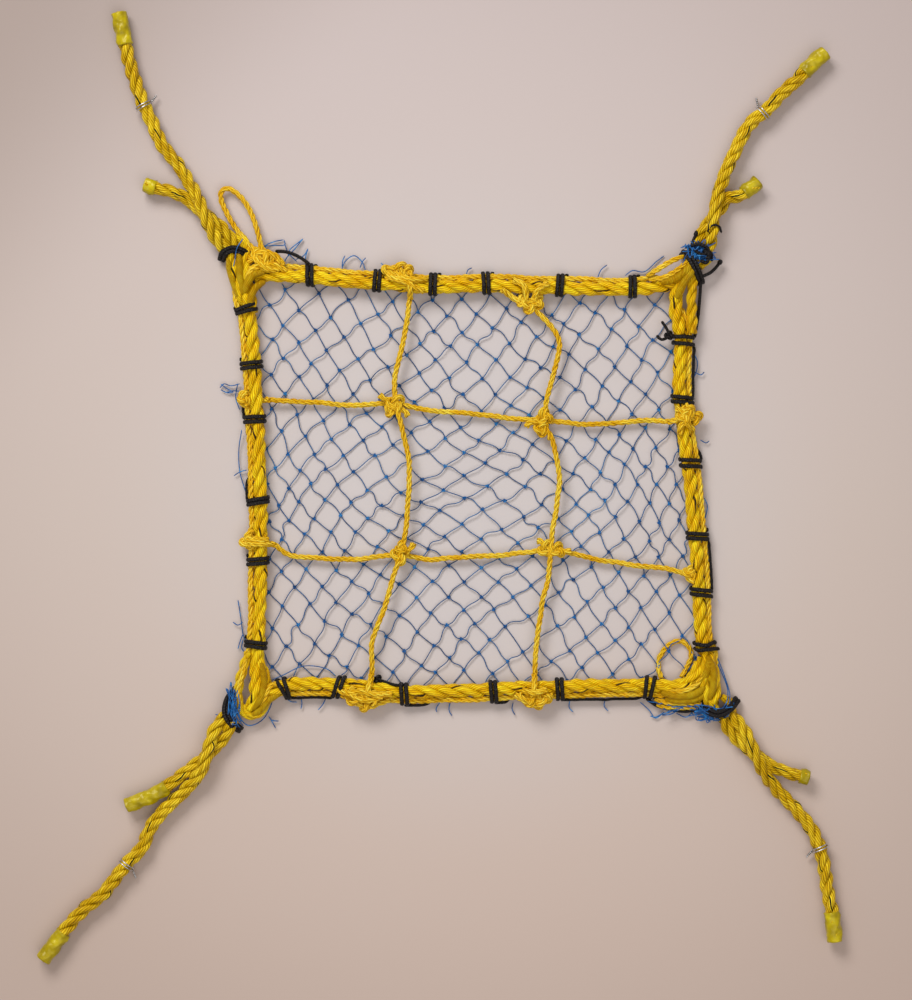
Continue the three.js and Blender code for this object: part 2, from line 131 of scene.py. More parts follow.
def smooth(points, step=FINE, z=ROPE_Z):
    """A smooth line through the points, in even steps. A point without a height lies at z."""
    p = np.array([(*p[:2], p[2] if len(p) > 2 else z) for p in points], float)
    gaps = np.sqrt(np.maximum(np.linalg.norm(np.diff(p, axis=0), axis=1), 1e-6))
    slope = np.diff(p, axis=0) / gaps[:, None]
    tangent = np.empty_like(p)
    tangent[0], tangent[-1] = slope[0], slope[-1]
    if len(p) > 2:
        before, after = gaps[:-1, None], gaps[1:, None]
        tangent[1:-1] = (slope[:-1] * after + slope[1:] * before) / (before + after)
    u = np.linspace(0, 1, 13)[:, None, None]
    span = gaps[None, :, None]
    leave, arrive = tangent[None, :-1] * span, tangent[None, 1:] * span
    dense = ((2 * u**3 - 3 * u**2 + 1) * p[None, :-1] + (u**3 - 2 * u**2 + u) * leave
             + (-2 * u**3 + 3 * u**2) * p[None, 1:] + (u**3 - u**2) * arrive)
    dense = dense.transpose(1, 0, 2).reshape(-1, 3)
    keep = np.concatenate([[True], np.linalg.norm(np.diff(dense, axis=0), axis=1) > 1e-6])
    return evenly(dense[keep], step)


def unit(v):
    return v / np.maximum(np.linalg.norm(v, axis=-1, keepdims=True), 1e-9)


def leftward(line):
    """The level direction to the left of the line at each point."""
    heading = unit(np.gradient(line, axis=0))
    return unit(np.stack([-heading[:, 1], heading[:, 0], np.zeros(len(line))], axis=1))


def frames(line):
    """Two directions across the line that don't twist along it."""
    tangent = unit(np.gradient(line, axis=0))
    first = np.empty_like(line)
    start = np.array([0, 0, 1.0])
    if abs(tangent[0] @ start) > 0.9:
        start = np.array([1.0, 0, 0])
    first[0] = unit(start - (start @ tangent[0]) * tangent[0])
    for i in range(1, len(line)):
        v = first[i - 1] - (first[i - 1] @ tangent[i]) * tangent[i]
        first[i] = v / max(math.sqrt(v @ v), 1e-9)
    return first, np.cross(tangent, first)


SWAY, SWAY_WAVE = 0.35, 30


def swaying(line):
    """The line with a slow random sway that fades out at its ends."""
    s = arc(line)
    fade = np.minimum(1, np.minimum(s, s[-1] - s) / SWAY_WAVE)
    shift = np.zeros_like(line)
    for scale in (1.0, 0.45):
        phases = rng.uniform(0, 2 * np.pi, 3)
        wave = SWAY_WAVE * scale * 1.7
        shift += SWAY * scale * np.sin(s[:, None] * 2 * np.pi / wave + phases)
    shift[:, 2] *= 0.4
    return line + shift * fade[:, None]


def above(line, lowest):
    """The line, lifted to the lowest height where it would go under it."""
    line[:, 2] = np.maximum(line[:, 2], lowest)
    return line


def outline(circles, margin, count):
    """Points of the tight outline round circles (out, up, radius), starting on the outer side."""
    angle = round_angles(240)
    heading = np.stack([np.cos(angle), np.sin(angle)], axis=1)
    c = np.array(circles, float)
    reach = heading @ c[:, :2].T + c[:, 2]
    best = reach.argmax(1)
    points = c[best, :2] + heading * (c[best, 2] + margin)[:, None]
    points = np.concatenate([points, points[:1]])
    along = arc(points)
    return columns(np.linspace(0, along[-1], count, endpoint=False), along, points)


def round_angles(count):
    return np.linspace(0, 2 * np.pi, count, endpoint=False)


# ---------------------------------------------------------------- meshes
class Build:
    """Collects closed tubes for one mesh. Each corner has a place round and along its tube."""

    def __init__(self):
        self.points, self.faces, self.places, self.tints, self.slots = [], [], [], [], []
        self.count = 0

    def tube(self, rings, along, turn=0.0, tint=0.0, slot=0):
        """rings is rings x points round x 3, closed at both ends by a fan."""
        n, m, _ = rings.shape
        ends = np.stack([rings[0].mean(0), rings[-1].mean(0)])
        tint = np.broadcast_to(np.asarray(tint, float), (n,))
        self.points.append(np.concatenate([rings.reshape(-1, 3), ends]))
        self.tints.append(np.concatenate([np.repeat(tint, m), tint[[0, -1]]]))
        i, j = np.meshgrid(np.arange(n - 1), np.arange(m), indexing="ij")
        i, j = i.ravel(), j.ravel()
        k = (j + 1) % m
        quads = np.stack([i * m + j, i * m + k, (i + 1) * m + k, (i + 1) * m + j], axis=1)
        self.faces += (quads + self.count).tolist()
        u = np.stack([j, j + 1, j + 1, j], axis=1) / m + turn
        v = np.stack([along[i], along[i], along[i + 1], along[i + 1]], axis=1)
        self.places.append(np.stack([u, v], axis=2).reshape(-1, 2))
        j = np.arange(m)
        k = (j + 1) % m
        first = np.stack([k, j, np.full(m, n * m)], axis=1) + self.count
        last = np.stack([(n - 1) * m + j, (n - 1) * m + k, np.full(m, n * m + 1)], axis=1) + self.count
        self.faces += first.tolist() + last.tolist()
        for place in (along[0], along[-1]):
            u = np.stack([j, j + 1, j + 0.5], axis=1) / m + turn
            self.places.append(np.stack([u, np.full_like(u, place)], axis=2).reshape(-1, 2))
        self.slots += [slot] * ((n + 1) * m)
        self.count += n * m + 2

    def mesh(self, name, materials):
        mesh = bpy.data.meshes.new(name)
        mesh.from_pydata((np.concatenate(self.points) * MM).tolist(), [], self.faces)
        places = np.concatenate(self.places).astype(np.float32).ravel()
        mesh.uv_layers.new(name="place").data.foreach_set("uv", places)
        tints = mesh.attributes.new("tint", "FLOAT", "POINT")
        tints.data.foreach_set("value", np.concatenate(self.tints).astype(np.float32))
        for material in materials:
            mesh.materials.append(material)
        mesh.polygons.foreach_set("material_index", np.array(self.slots, np.int32))
        mesh.polygons.foreach_set("use_smooth", np.ones(len(mesh.polygons), bool))
        mesh.update()
        return mesh

    def piece(self, node, made, materials, record_slot, body=None, bend=None, replaced=None):
        """The finished piece, named for its node and how it is made, in place of that node unless
        others are given. It rides on its body; where body is "fold" or bend is given, it stays
        where it is, on no body."""
        obj = add_object(f"{node}_{made}", self.mesh(f"{node}_{made}", materials))
        if body == "fold":
            bend = "right_half", "left_half", fold_place(1), fold_place(-1)
        if bend:
            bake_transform(obj)
        else:
            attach(obj, body)
        replaced = [node] if replaced is None else replaced
        if replaced:
            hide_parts(*replaced)
        return obj


def fold_place(side):
    """Where the bend over the fold starts or ends, in metres."""
    return ((FOLD_X + side * FOLD_REACH) * MM, 0, 0.007)


def add_object(name, data):
    obj = bpy.data.objects.new(name, data)
    bpy.context.scene.collection.objects.link(obj)
    return obj


def ring_points(line, across, aside, out, up):
    """A ring round each point of the line: out along across and up along aside."""
    return line[:, None] + across[:, None] * out[:, :, None] + aside[:, None] * up[:, :, None]


def plain(build, line, radius, sides=8, tint=0.0, round_ends=True):
    """A round tube; radius is one number or one for each point."""
    radius = np.broadcast_to(np.asarray(radius, float), (len(line),)).copy()
    if round_ends:
        radius[[0, -1]] *= 0.55
    angle, radius = round_angles(sides), radius[:, None]
    rings = ring_points(line, *frames(line), radius * np.cos(angle), radius * np.sin(angle))
    build.tube(rings, arc(line), tint=tint)


def laid(build, line, radius, lay, sides=16, phase=0.0, slot=0, full=0.52):
    """Three strands laid round a line, each a little uneven along its length."""
    s = arc(line)
    across, aside = frames(line)
    radius = np.broadcast_to(np.asarray(radius, float), (len(line),))
    strand_r = radius * full
    theta = round_angles(sides) + np.pi
    for k in range(3):
        turn = 2 * np.pi * (s / lay + k / 3) + phase + 0.16 * np.sin(s * 0.17 + 2 * k + phase)
        out = across * np.cos(turn)[:, None] + aside * np.sin(turn)[:, None]
        wobble = 1 + 0.04 * np.sin(s * 0.31 + 2.1 * k + phase) + 0.03 * np.sin(s * 0.83 + 1.3 * k)
        middle = line + out * (radius * wobble - strand_r)[:, None]
        heading = unit(np.gradient(middle, axis=0))
        radial = unit(out - np.sum(out * heading, axis=1, keepdims=True) * heading)
        r = (strand_r * wobble)[:, None]
        rings = ring_points(middle, radial, np.cross(heading, radial), r * np.cos(theta), r * np.sin(theta))
        build.tube(rings, s, turn=float(k), slot=slot)


def twined(build, line, radius=TWINE_R, phase=0.0, slot=0):
    """The thin three-strand twine."""
    laid(build, line, radius, TWINE_LAY, sides=10, phase=phase, slot=slot)


def strap(build, line, wide):
    """The flat lashing twine: wide gives the direction of its width at each point."""
    tangent = unit(np.gradient(line, axis=0))
    wide = unit(wide - np.sum(wide * tangent, axis=1, keepdims=True) * tangent)
    angle = round_angles(12)
    size = np.ones((len(line), 1))
    size[[0, -1]] = 0.6
    out, up = size * LASH_WIDE / 2 * np.cos(angle), size * LASH_THICK / 2 * np.sin(angle)
    build.tube(ring_points(line, wide, np.cross(tangent, wide), out, up), arc(line))


class Side:
    """One side of the frame: places on it are counted along it, outward and up."""

    def __init__(self, along, outward, route, span, lashings):
        self.axis, self.lashings = along, lashings
        self.line = smooth(route)
        past = 14
        inner = [p for p in range(len(self.line))
                 if min(span) - past < self.line[p][along] < max(span) + past]
        middle = self.line[inner[0]:inner[-1] + 1]
        normal = leftward(middle)
        if np.sum(normal[:, 1 - along]) * outward < 0:
            normal = -normal
        order = np.argsort(middle[:, along])
        self.at, self.middle, self.normal = middle[order, along], middle[order], normal[order]

    def place(self, at, out, up):
        """Points at stations along the side, out from the middle of its rope, at height up."""
        at, out, up = np.broadcast_arrays(*(np.atleast_1d(np.asarray(v, float)) for v in (at, out, up)))
        middle, normal = columns(at, self.at, self.middle), columns(at, self.at, self.normal)
        points = middle + normal * out[:, None]
        points[:, 2] = up
        return points


SIDE = {name: Side(**values) for name, values in SIDES.items()}


# ---------------------------------------------------------------- materials
def linear(*color):
    """A colour of 0 to 255 as the numbers that a shader works with."""
    return tuple(c / 255 / 12.92 if c <= 10 else ((c / 255 + 0.055) / 1.055) ** 2.4 for c in color)


class Look:
    """A new material with short ways to make its nodes. Each gives back the output to use next."""

    def __init__(self, name):
        self.material = bpy.data.materials.new(name)
        self.material.use_nodes = True
        self.tree = self.material.node_tree
        self.where = self.node("ShaderNodeTexCoord").outputs["Object"]

    def fill(self, node, inputs):
        for key, value in inputs.items():
            if isinstance(value, bpy.types.NodeSocket):
                self.tree.links.new(value, node.inputs[key])
            else:
                node.inputs[key].default_value = value

    def node(self, kind, *inputs, named=(), **settings):
        made = self.tree.nodes.new(kind)
        for key, value in settings.items():
            setattr(made, key, value)
        self.fill(made, {**dict(enumerate(inputs)), **dict(named)})
        return made

    def math(self, operation, *values):
        return self.node("ShaderNodeMath", *values, operation=operation).outputs[0]

    def total(self, base, *terms):
        """The base with each output times its weight added to it."""
        for output, weight in reversed(terms):
            base = self.math("MULTIPLY_ADD", output, weight, base)
        return base

    def off_middle(self, value):
        return self.math("ABSOLUTE", self.math("SUBTRACT", value, 0.5))

    def split(self, vector):
        return self.node("ShaderNodeSeparateXYZ", vector).outputs

    def around_along(self):
        """The two places that each tube's points were given."""
        return self.split(self.node("ShaderNodeUVMap", uv_map="place").outputs[0])[:2]

    def vector(self, x, y, z):
        return self.node("ShaderNodeCombineXYZ", x, y, z).outputs[0]

    def noise(self, scale, detail, at=None, **more):
        named = {"Vector": self.where if at is None else at, "Scale": scale, "Detail": detail, **more}
        return self.node("ShaderNodeTexNoise", named=named).outputs[0]

    def between(self, value, low, high, start, finish, way="SMOOTHSTEP"):
        """start where value is low, finish where it is high."""
        inputs = value, low, high, start, finish
        return self.node("ShaderNodeMapRange", *inputs, interpolation_type=way).outputs[0]

    def ramp(self, value, *stops):
        made = self.node("ShaderNodeValToRGB", value)
        bar = made.color_ramp
        while len(bar.elements) < len(stops):
            bar.elements.new(0.5)
        for element, (place, color) in zip(bar.elements, stops):
            element.position = place
            element.color = (*color, 1)
        return made.outputs[0]

    def mix(self, factor, a, b):
        colors = {6: a, 7: b}
        return self.node("ShaderNodeMix", factor, named=colors, data_type="RGBA").outputs[2]

    def bump(self, height, strength, distance):
        named = {"Height": height, "Strength": strength, "Distance": distance}
        return self.node("ShaderNodeBump", named=named).outputs[0]

    def finish(self, color, rough, normal=None, **more):
        """Feed the material's own shader; more holds other inputs, with _ for a space."""
        inputs = {"Base Color": color, "Roughness": rough}
        if normal is not None:
            inputs["Normal"] = normal
        inputs.update({key.replace("_", " "): value for key, value in more.items()})
        self.fill(self.tree.nodes["Principled BSDF"], inputs)
        return self.material


def rope_material(name, light, middle, dark, lay, yarns, rough, over=2.6, tracer=False):
    """Laid split-film rope. Yarns in each strand run a little past the rope's own direction."""
    look = Look(name)
    light, middle, dark = linear(*light), linear(*middle), linear(*dark)
    around, along = look.around_along()
    strand = look.math("FLOOR", around)
    fibre = look.total(around, (along, over / lay), (look.noise(130.0, 3.0), 0.26))
    yarn = look.math("MULTIPLY", fibre, yarns)
    crown = look.between(look.off_middle(look.math("FRACT", yarn)), 0.12, 0.5, 1.0, 0.0)
    which = look.vector(look.math("FLOOR", yarn), strand, look.math("MULTIPLY", along, 0.035))
    each = look.noise(2.37, 0.0, which)
    thread_at = look.vector(look.math("MULTIPLY", yarn, 4.5), look.math("MULTIPLY", along, 0.22),
                            look.math("MULTIPLY", strand, 3.1))
    thread = look.noise(1.0, 3.0, thread_at, Roughness=0.65)
    patches = look.noise(55.0, 2.0)
    # Painted shade and highlight: crown lightens each yarn's top and darkens the lines between yarns; each,
    # thread and patches add random tone.
    value = look.total(-0.26, (crown, 0.24), (each, 0.42), (thread, 0.46), (patches, 0.40))
    color = look.ramp(value, (0.22, dark), (0.5, middle), (0.76, light))
    # Painted shade: the colour darkens to half the dark tone where the three strands meet.
    groove_shade = look.between(look.off_middle(look.math("FRACT", around)), 0.17, 0.36, 0.0, 0.5)
    color = look.mix(groove_shade, color, (*(c * 0.5 for c in dark), 1))
    if tracer:
        off = look.off_middle(look.math("FRACT", fibre))
        dark_yarn = look.math("LESS_THAN", off, look.total(0.022, (thread, 0.04)))
        mask = look.math("MULTIPLY", dark_yarn, look.math("LESS_THAN", strand, 0.5))
        color = look.mix(mask, color, (*linear(30, 24, 16), 1))
    shine = look.between(thread, 0.3, 0.7, rough + 0.12, rough - 0.1, "LINEAR")
    normal = look.bump(look.total(0.0, (crown, 1.0), (thread, 0.5)), 0.8, 0.0006)
    return look.finish(color, shine, normal, Specular_IOR_Level=0.4, Specular_Tint=(1.0, 0.84, 0.22, 1))


def lashing_material():
    look = Look("lashing_black")
    around, along = look.around_along()
    around = look.math("MULTIPLY", around, 2 * math.pi * 3)
    along = look.math("MULTIPLY", along, 2 * math.pi / 1.9)
    one = look.math("SINE", look.math("ADD", around, along))
    two = look.math("SINE", look.math("SUBTRACT", around, along))
    braid = look.math("MAXIMUM", one, two)
    # Painted shade: braid makes the colour lighter on the braid's crests and darker in its hollows; the
    # noise adds random tone.
    value = look.total(0.0, (braid, 0.2), (look.noise(900.0, 2.0), 0.8))
    color = look.ramp(value, (0.25, linear(3, 2, 3)), (0.6, linear(14, 9, 11)), (0.9, linear(40, 29, 32)))
    return look.finish(color, 0.46, look.bump(braid, 0.7, 0.0003), Specular_IOR_Level=0.3)


def net_material():
    """Blue net twine: greyer where a single bar hangs, bluer in the knots and bunches (tint 1)."""
    look = Look("net_blue")
    tint = look.node("ShaderNodeAttribute", attribute_name="tint").outputs["Fac"]
    grain, slow = look.noise(260.0, 2.0), look.noise(18.0, 1.0)
    bars = look.ramp(look.total(0.0, (grain, 0.5), (slow, 0.5)), (0.3, linear(16, 50, 92)),
                     (0.5, linear(34, 82, 134)), (0.7, linear(62, 118, 170)))
    knots = look.ramp(grain, (0.3, linear(0, 62, 118)), (0.55, linear(0, 96, 168)),
                      (0.75, linear(50, 150, 215)))
    return look.finish(look.mix(tint, bars, knots), 0.45, look.bump(grain, 0.4, 0.0002))


def tape_material():
    look = Look("tape_yellow")
    crumple = look.noise(210.0, 3.0, Distortion=1.2)
    color = look.ramp(look.noise(120.0, 2.0), (0.3, linear(144, 126, 0)), (0.5, linear(176, 156, 0)),
                      (0.72, linear(206, 188, 4)))
    return look.finish(color, 0.34, look.bump(crumple, 0.6, 0.0008), Specular_Tint=(1.0, 0.95, 0.6, 1))


def wire_material():
    look = Look("wire_steel")
    tone = look.noise(500.0, 2.0)
    color = look.ramp(tone, (0.35, (0.42, 0.42, 0.43)), (0.65, (0.72, 0.72, 0.73)))
    return look.finish(color, look.between(tone, 0.3, 0.7, 0.22, 0.42, "LINEAR"), Metallic=1.0)


def floor_material():
    """Pale floor, warmer to the front; a painted pool of light round the trap, painted shade far out and to
    the back left.
    """
    look = Look("floor_pale")
    x, y, _ = look.split(look.where)
    down = look.total(0.35, (y, -1.2), (look.noise(1.6, 2.0), 0.3))
    color = look.ramp(down, (0.1, linear(199, 188, 187)), (0.5, linear(199, 186, 179)),
                      (0.9, linear(200, 182, 172)))
    far = look.node("ShaderNodeVectorMath", look.where, operation="LENGTH").outputs[1]
    corner = look.math("SUBTRACT", y, x)
    # Painted light and shade: a lighter, greyer pool round the trap, then darker far out and darker towards
    # the back left.
    for shade, other in ((look.between(far, 0.06, 0.26, 0.8, 0.0), linear(204, 199, 200)),
                         (look.between(far, 0.2, 0.48, 0.0, 0.34), linear(150, 130, 118)),
                         (look.between(corner, 0.36, 0.64, 0.0, 0.5), linear(142, 126, 116))):
        color = look.mix(shade, color, (*other, 1))
    return look.finish(color, 0.7, look.bump(look.noise(420.0, 3.0), 0.08, 0.0004), Specular_IOR_Level=0.2)


ROPE = rope_material("rope_yellow", (255, 234, 40), (240, 186, 0), (172, 110, 0), ROPE_LAY, 9.0, 0.36,
                     tracer=True)
EYE_ROPE = rope_material("rope_eye_yellow", (255, 232, 44), (236, 182, 0), (164, 104, 0), EYE_LAY, 9.0, 0.36)
LEG_ROPE = rope_material("rope_leg_yellow", (250, 222, 52), (210, 166, 0), (132, 90, 0), ROPE_LAY, 8.0, 0.34,
                         tracer=True)
TWINE = rope_material("twine_orange", (255, 234, 84), (240, 186, 14), (192, 126, 0), TWINE_LAY, 4.0, 0.4,
                      over=1.6)
LASHING, NET, TAPE, WIRE = lashing_material(), net_material(), tape_material(), wire_material()


# ---------------------------------------------------------------- camera, made first
EYE = np.array([-10.6, -8.6, 2292.0])
camera_data = bpy.data.cameras.new("camera")
camera_data.lens = 125
camera_data.sensor_width = 36
camera_data.clip_start = 0.01
camera = add_object("camera", camera_data)
camera.location = EYE * MM
bpy.context.scene.camera = camera


# ---------------------------------------------------------------- frame rope and edge twine
def half_of(name):
    """The half of the panel that a piece is on, from the last word of its name."""
    return "left_half" if name.endswith("left") else "right_half"


BODY = {"front": "fold", "back": "fold", "left": half_of("left"), "right": half_of("right")}
ROPE_PHASE = {"front": 0.4, "right": 1.9, "back": 3.0, "left": 4.4}


def frame_rope(name, side):
    rope = Build()
    s = arc(side.line)
    thinner = 0.12 * np.clip(1 - np.minimum(s, s[-1] - s) / 25, 0, 1)
    laid(rope, side.line, ROPE_R * (1 - thinner), ROPE_LAY, phase=ROPE_PHASE[name])
    return rope


SAG_OVER, TUCK_OVER = 14, 11


def edge_twine(side):
    """The thin twine lies beside the rope, slackens between lashings and tucks in at its ends."""
    low, high = side.at[0] + 5, side.at[-1] - 5
    at = np.arange(low, high, 1.2)
    stops = np.array(sorted(side.lashings + [low, high]))
    between = np.array([np.min(np.abs(a - stops)) for a in at])
    sag = np.clip(between / SAG_OVER, 0, 1)
    tuck = np.clip(1 - np.minimum(at - low, high - at) / TUCK_OVER, 0, 1)
    out = EDGE_OUT - 0.2 + 0.35 * sag * np.sin(at * 0.11 + side.axis * 2 + side.at[0]) - 4.2 * tuck
    up = EDGE_Z + 0.7 * sag * np.sin(at * 0.07 + 1) - 2.2 * tuck
    twine = Build()
    twined(twine, evenly(side.place(at, out, up), 0.9), TWINE_R * 1.08, phase=1.1)
    return twine


def side_piece(build, kind, name, made, materials, record_slot):
    """The back and front pieces lie across the fold on no body, and stand for a node on each half."""
    node, body = f"{kind}_{name}", BODY[name]
    replaced = [f"{node}_left", f"{node}_right"] if body == "fold" else [node]
    build.piece(node, made, materials, record_slot, body, replaced=replaced)


for name, side in SIDE.items():
    side_piece(frame_rope(name, side), "frame_rope", name, "laid", [ROPE], "rope")
for name, side in SIDE.items():
    side_piece(edge_twine(side), "edge_twine", name, "laid", [TWINE], "twine")


# ---------------------------------------------------------------- black lashings
# Lean in degrees and pitch in millimetres of each pair of turns, in order of station
TURNS = {
    "front": [(12, 3.4), (-10, 3.3), (12, 3.4), (8, 3.0), (8, 3.1), (2, 4.6)],
    "right": [(-14, 3.0), (-4, 3.4), (-2, 3.2), (-2, 4.0), (-2, 3.3), (2, 4.4)],
    "back": [(-2, 2.9), (6, 3.1), (6, 3.0), (2, 3.1), (8, 2.9), (8, 3.0)],
    "left": [(8, 3.0), (0, 3.0), (-3, 2.6), (6, 3.2), (4, 3.2), (4, 3.1)],
}
# How much of the way from each pair of turns to the next the line shows on the outer side
SHOWN = {
    "front": [1.0, 0.0, 0.35, 0.3, 1.0],
    "right": [0.0, 1.0, 0.1, 0.25, 1.0],
    "back": [0.0, 0.0, 0.0, 0.0, 0.0],
    "left": [0.0, 0.0, 0.35, 0.55, 0.0],
}
TURN_STEPS = 30
# The running line's places across the side, as (outward, up)
OUTSIDE, BELOW = (EDGE_OUT + TWINE_R + 0.9, 4.6), (3.4, 1.1)
BUNDLE = [(0, ROPE_Z, ROPE_R), (EDGE_OUT, EDGE_Z, TWINE_R)]


def wrap(side, at, lean, pitch):
    """Two turns round the rope and its twine at a station, starting on the outer side."""
    ring = outline(BUNDLE, LASH_THICK * 0.45, TURN_STEPS)
    count = 2 * TURN_STEPS
    out, up = ring[np.arange(count + 1) % TURN_STEPS].T
    share = np.linspace(-0.5, 0.5, count + 1)
    return side.place(at + share * 2 * pitch + math.tan(math.radians(lean)) * out, out, up)


def wide_way(side, points):
    """The direction along the side at each of the points."""
    at = points[:, side.axis]
    return unit(side.place(at + 1, 0, 0) - side.place(at - 1, 0, 0))


def running_line(build, side, start, finish, shown):
    """The line from one pair of turns to the next: on the outer side, then under the rope."""
    count = 13
    seen = np.clip((shown - np.linspace(0, 1, count)) / 0.12, 0, 1)
    out, up = (seen * there + (1 - seen) * below for there, below in zip(OUTSIDE, BELOW))
    out += rng.normal(0, 0.15, count)
    plain(build, smooth(side.place(np.linspace(start, finish, count), out, up), 0.9), RUNNING_R)


def lashing(name, side):
    cords = Build()
    stations = sorted(side.lashings)
    for at, (lean, pitch) in zip(stations, TURNS[name]):
        ring = wrap(side, at, lean, pitch)
        line = smooth(ring + rng.normal(0, 0.06, ring.shape), 0.7)
        strap(cords, line, wide_way(side, line))
    for start, finish, shown in zip(stations[:-1], stations[1:], SHOWN[name]):
        running_line(cords, side, start, finish, shown)
    return cords


for name, side in SIDE.items():
    side_piece(lashing(name, side), "lashing", name, "tied", [LASHING], "lashing")


# ---------------------------------------------------------------- knots
GRID_KNOT_HEIGHT, CROSSING_HEIGHT, HELD_HEIGHT = 2.25, 2.2, 2.3


def knot_loop(center, size, height, turn, lean=(0, 0), count=46):
    """A small closed knot: three lobes that pass over and under each other."""
    t = np.linspace(0, 2 * np.pi, count)
    flat = np.stack([np.sin(t) + 2 * np.sin(2 * t), np.cos(t) - 2 * np.cos(2 * t)], axis=1) * size / 3
    c, s = math.cos(turn), math.sin(turn)
    flat = flat @ np.array([[c, s], [-s, c]])
    up = -np.sin(3 * t) * height + flat @ np.array(lean)
    return np.array(center, float) + np.concatenate([flat, up[:, None]], axis=1)


def knot(build, center, size, height, turn, lean=(0, 0)):
    twined(build, evenly(knot_loop(center, size, height, turn, lean), FINE), phase=turn)


def stub(build, points):
    """A cut end of twine, with its strands opening a little over the last 4 mm."""
    line = smooth(points)
    s = arc(line)
    open_up = 1 + 0.25 * np.clip((s - s[-1] + 4) / 4, 0, 1)
    twined(build, line, TWINE_R * open_up, phase=rng.uniform(0, 6))


# ---------------------------------------------------------------- grid twines with their end knots
OVER_Z, UNDER_Z, CROSSING_Z = 8.6, 4.8, 7.6
# Stations of the two end knots, then the route between them
LENGTHWISE = {
    "left": (-43, -70.6, [(-45.5, 93.7), (-51.5, 67.3), (-50.2, 54.8), (-45.5, 37.6), (-41.6, 11.2),
                          (-42.2, -15.2), (-47.5, -44.9), (-57.4, -77.9), (-65.3, -101)]),
    "right": (39, 41, [(55.4, 100.3), (56.8, 87.1), (46.9, 43.6), (52.8, 31), (56.8, 11.2), (56.1, -8.6),
                       (51.5, -40.9), (50.2, -58.1), (45.5, -81.2), (42, -105)]),
}
CROSSWISE = {
    "back": (58.4, 44.2, [(-113.5, 56.1), (-80.5, 54.1), (-50.2, 54.8), (-34.3, 51.5), (-8, 48.8),
                          (31.7, 44.9), (46.9, 43.6), (71.3, 41.6), (97.7, 42.2), (118, 43.8)]),
    "front": (-38, -56, [(-120.1, -44.9), (-93.7, -47.2), (-67.3, -46.9), (-47.5, -44.9), (-27.7, -47.5),
                         (-8, -46.6), (38.3, -42.9), (51.5, -40.9), (84.5, -48.2), (110.9, -52.1),
                         (128, -53.6)]),
}
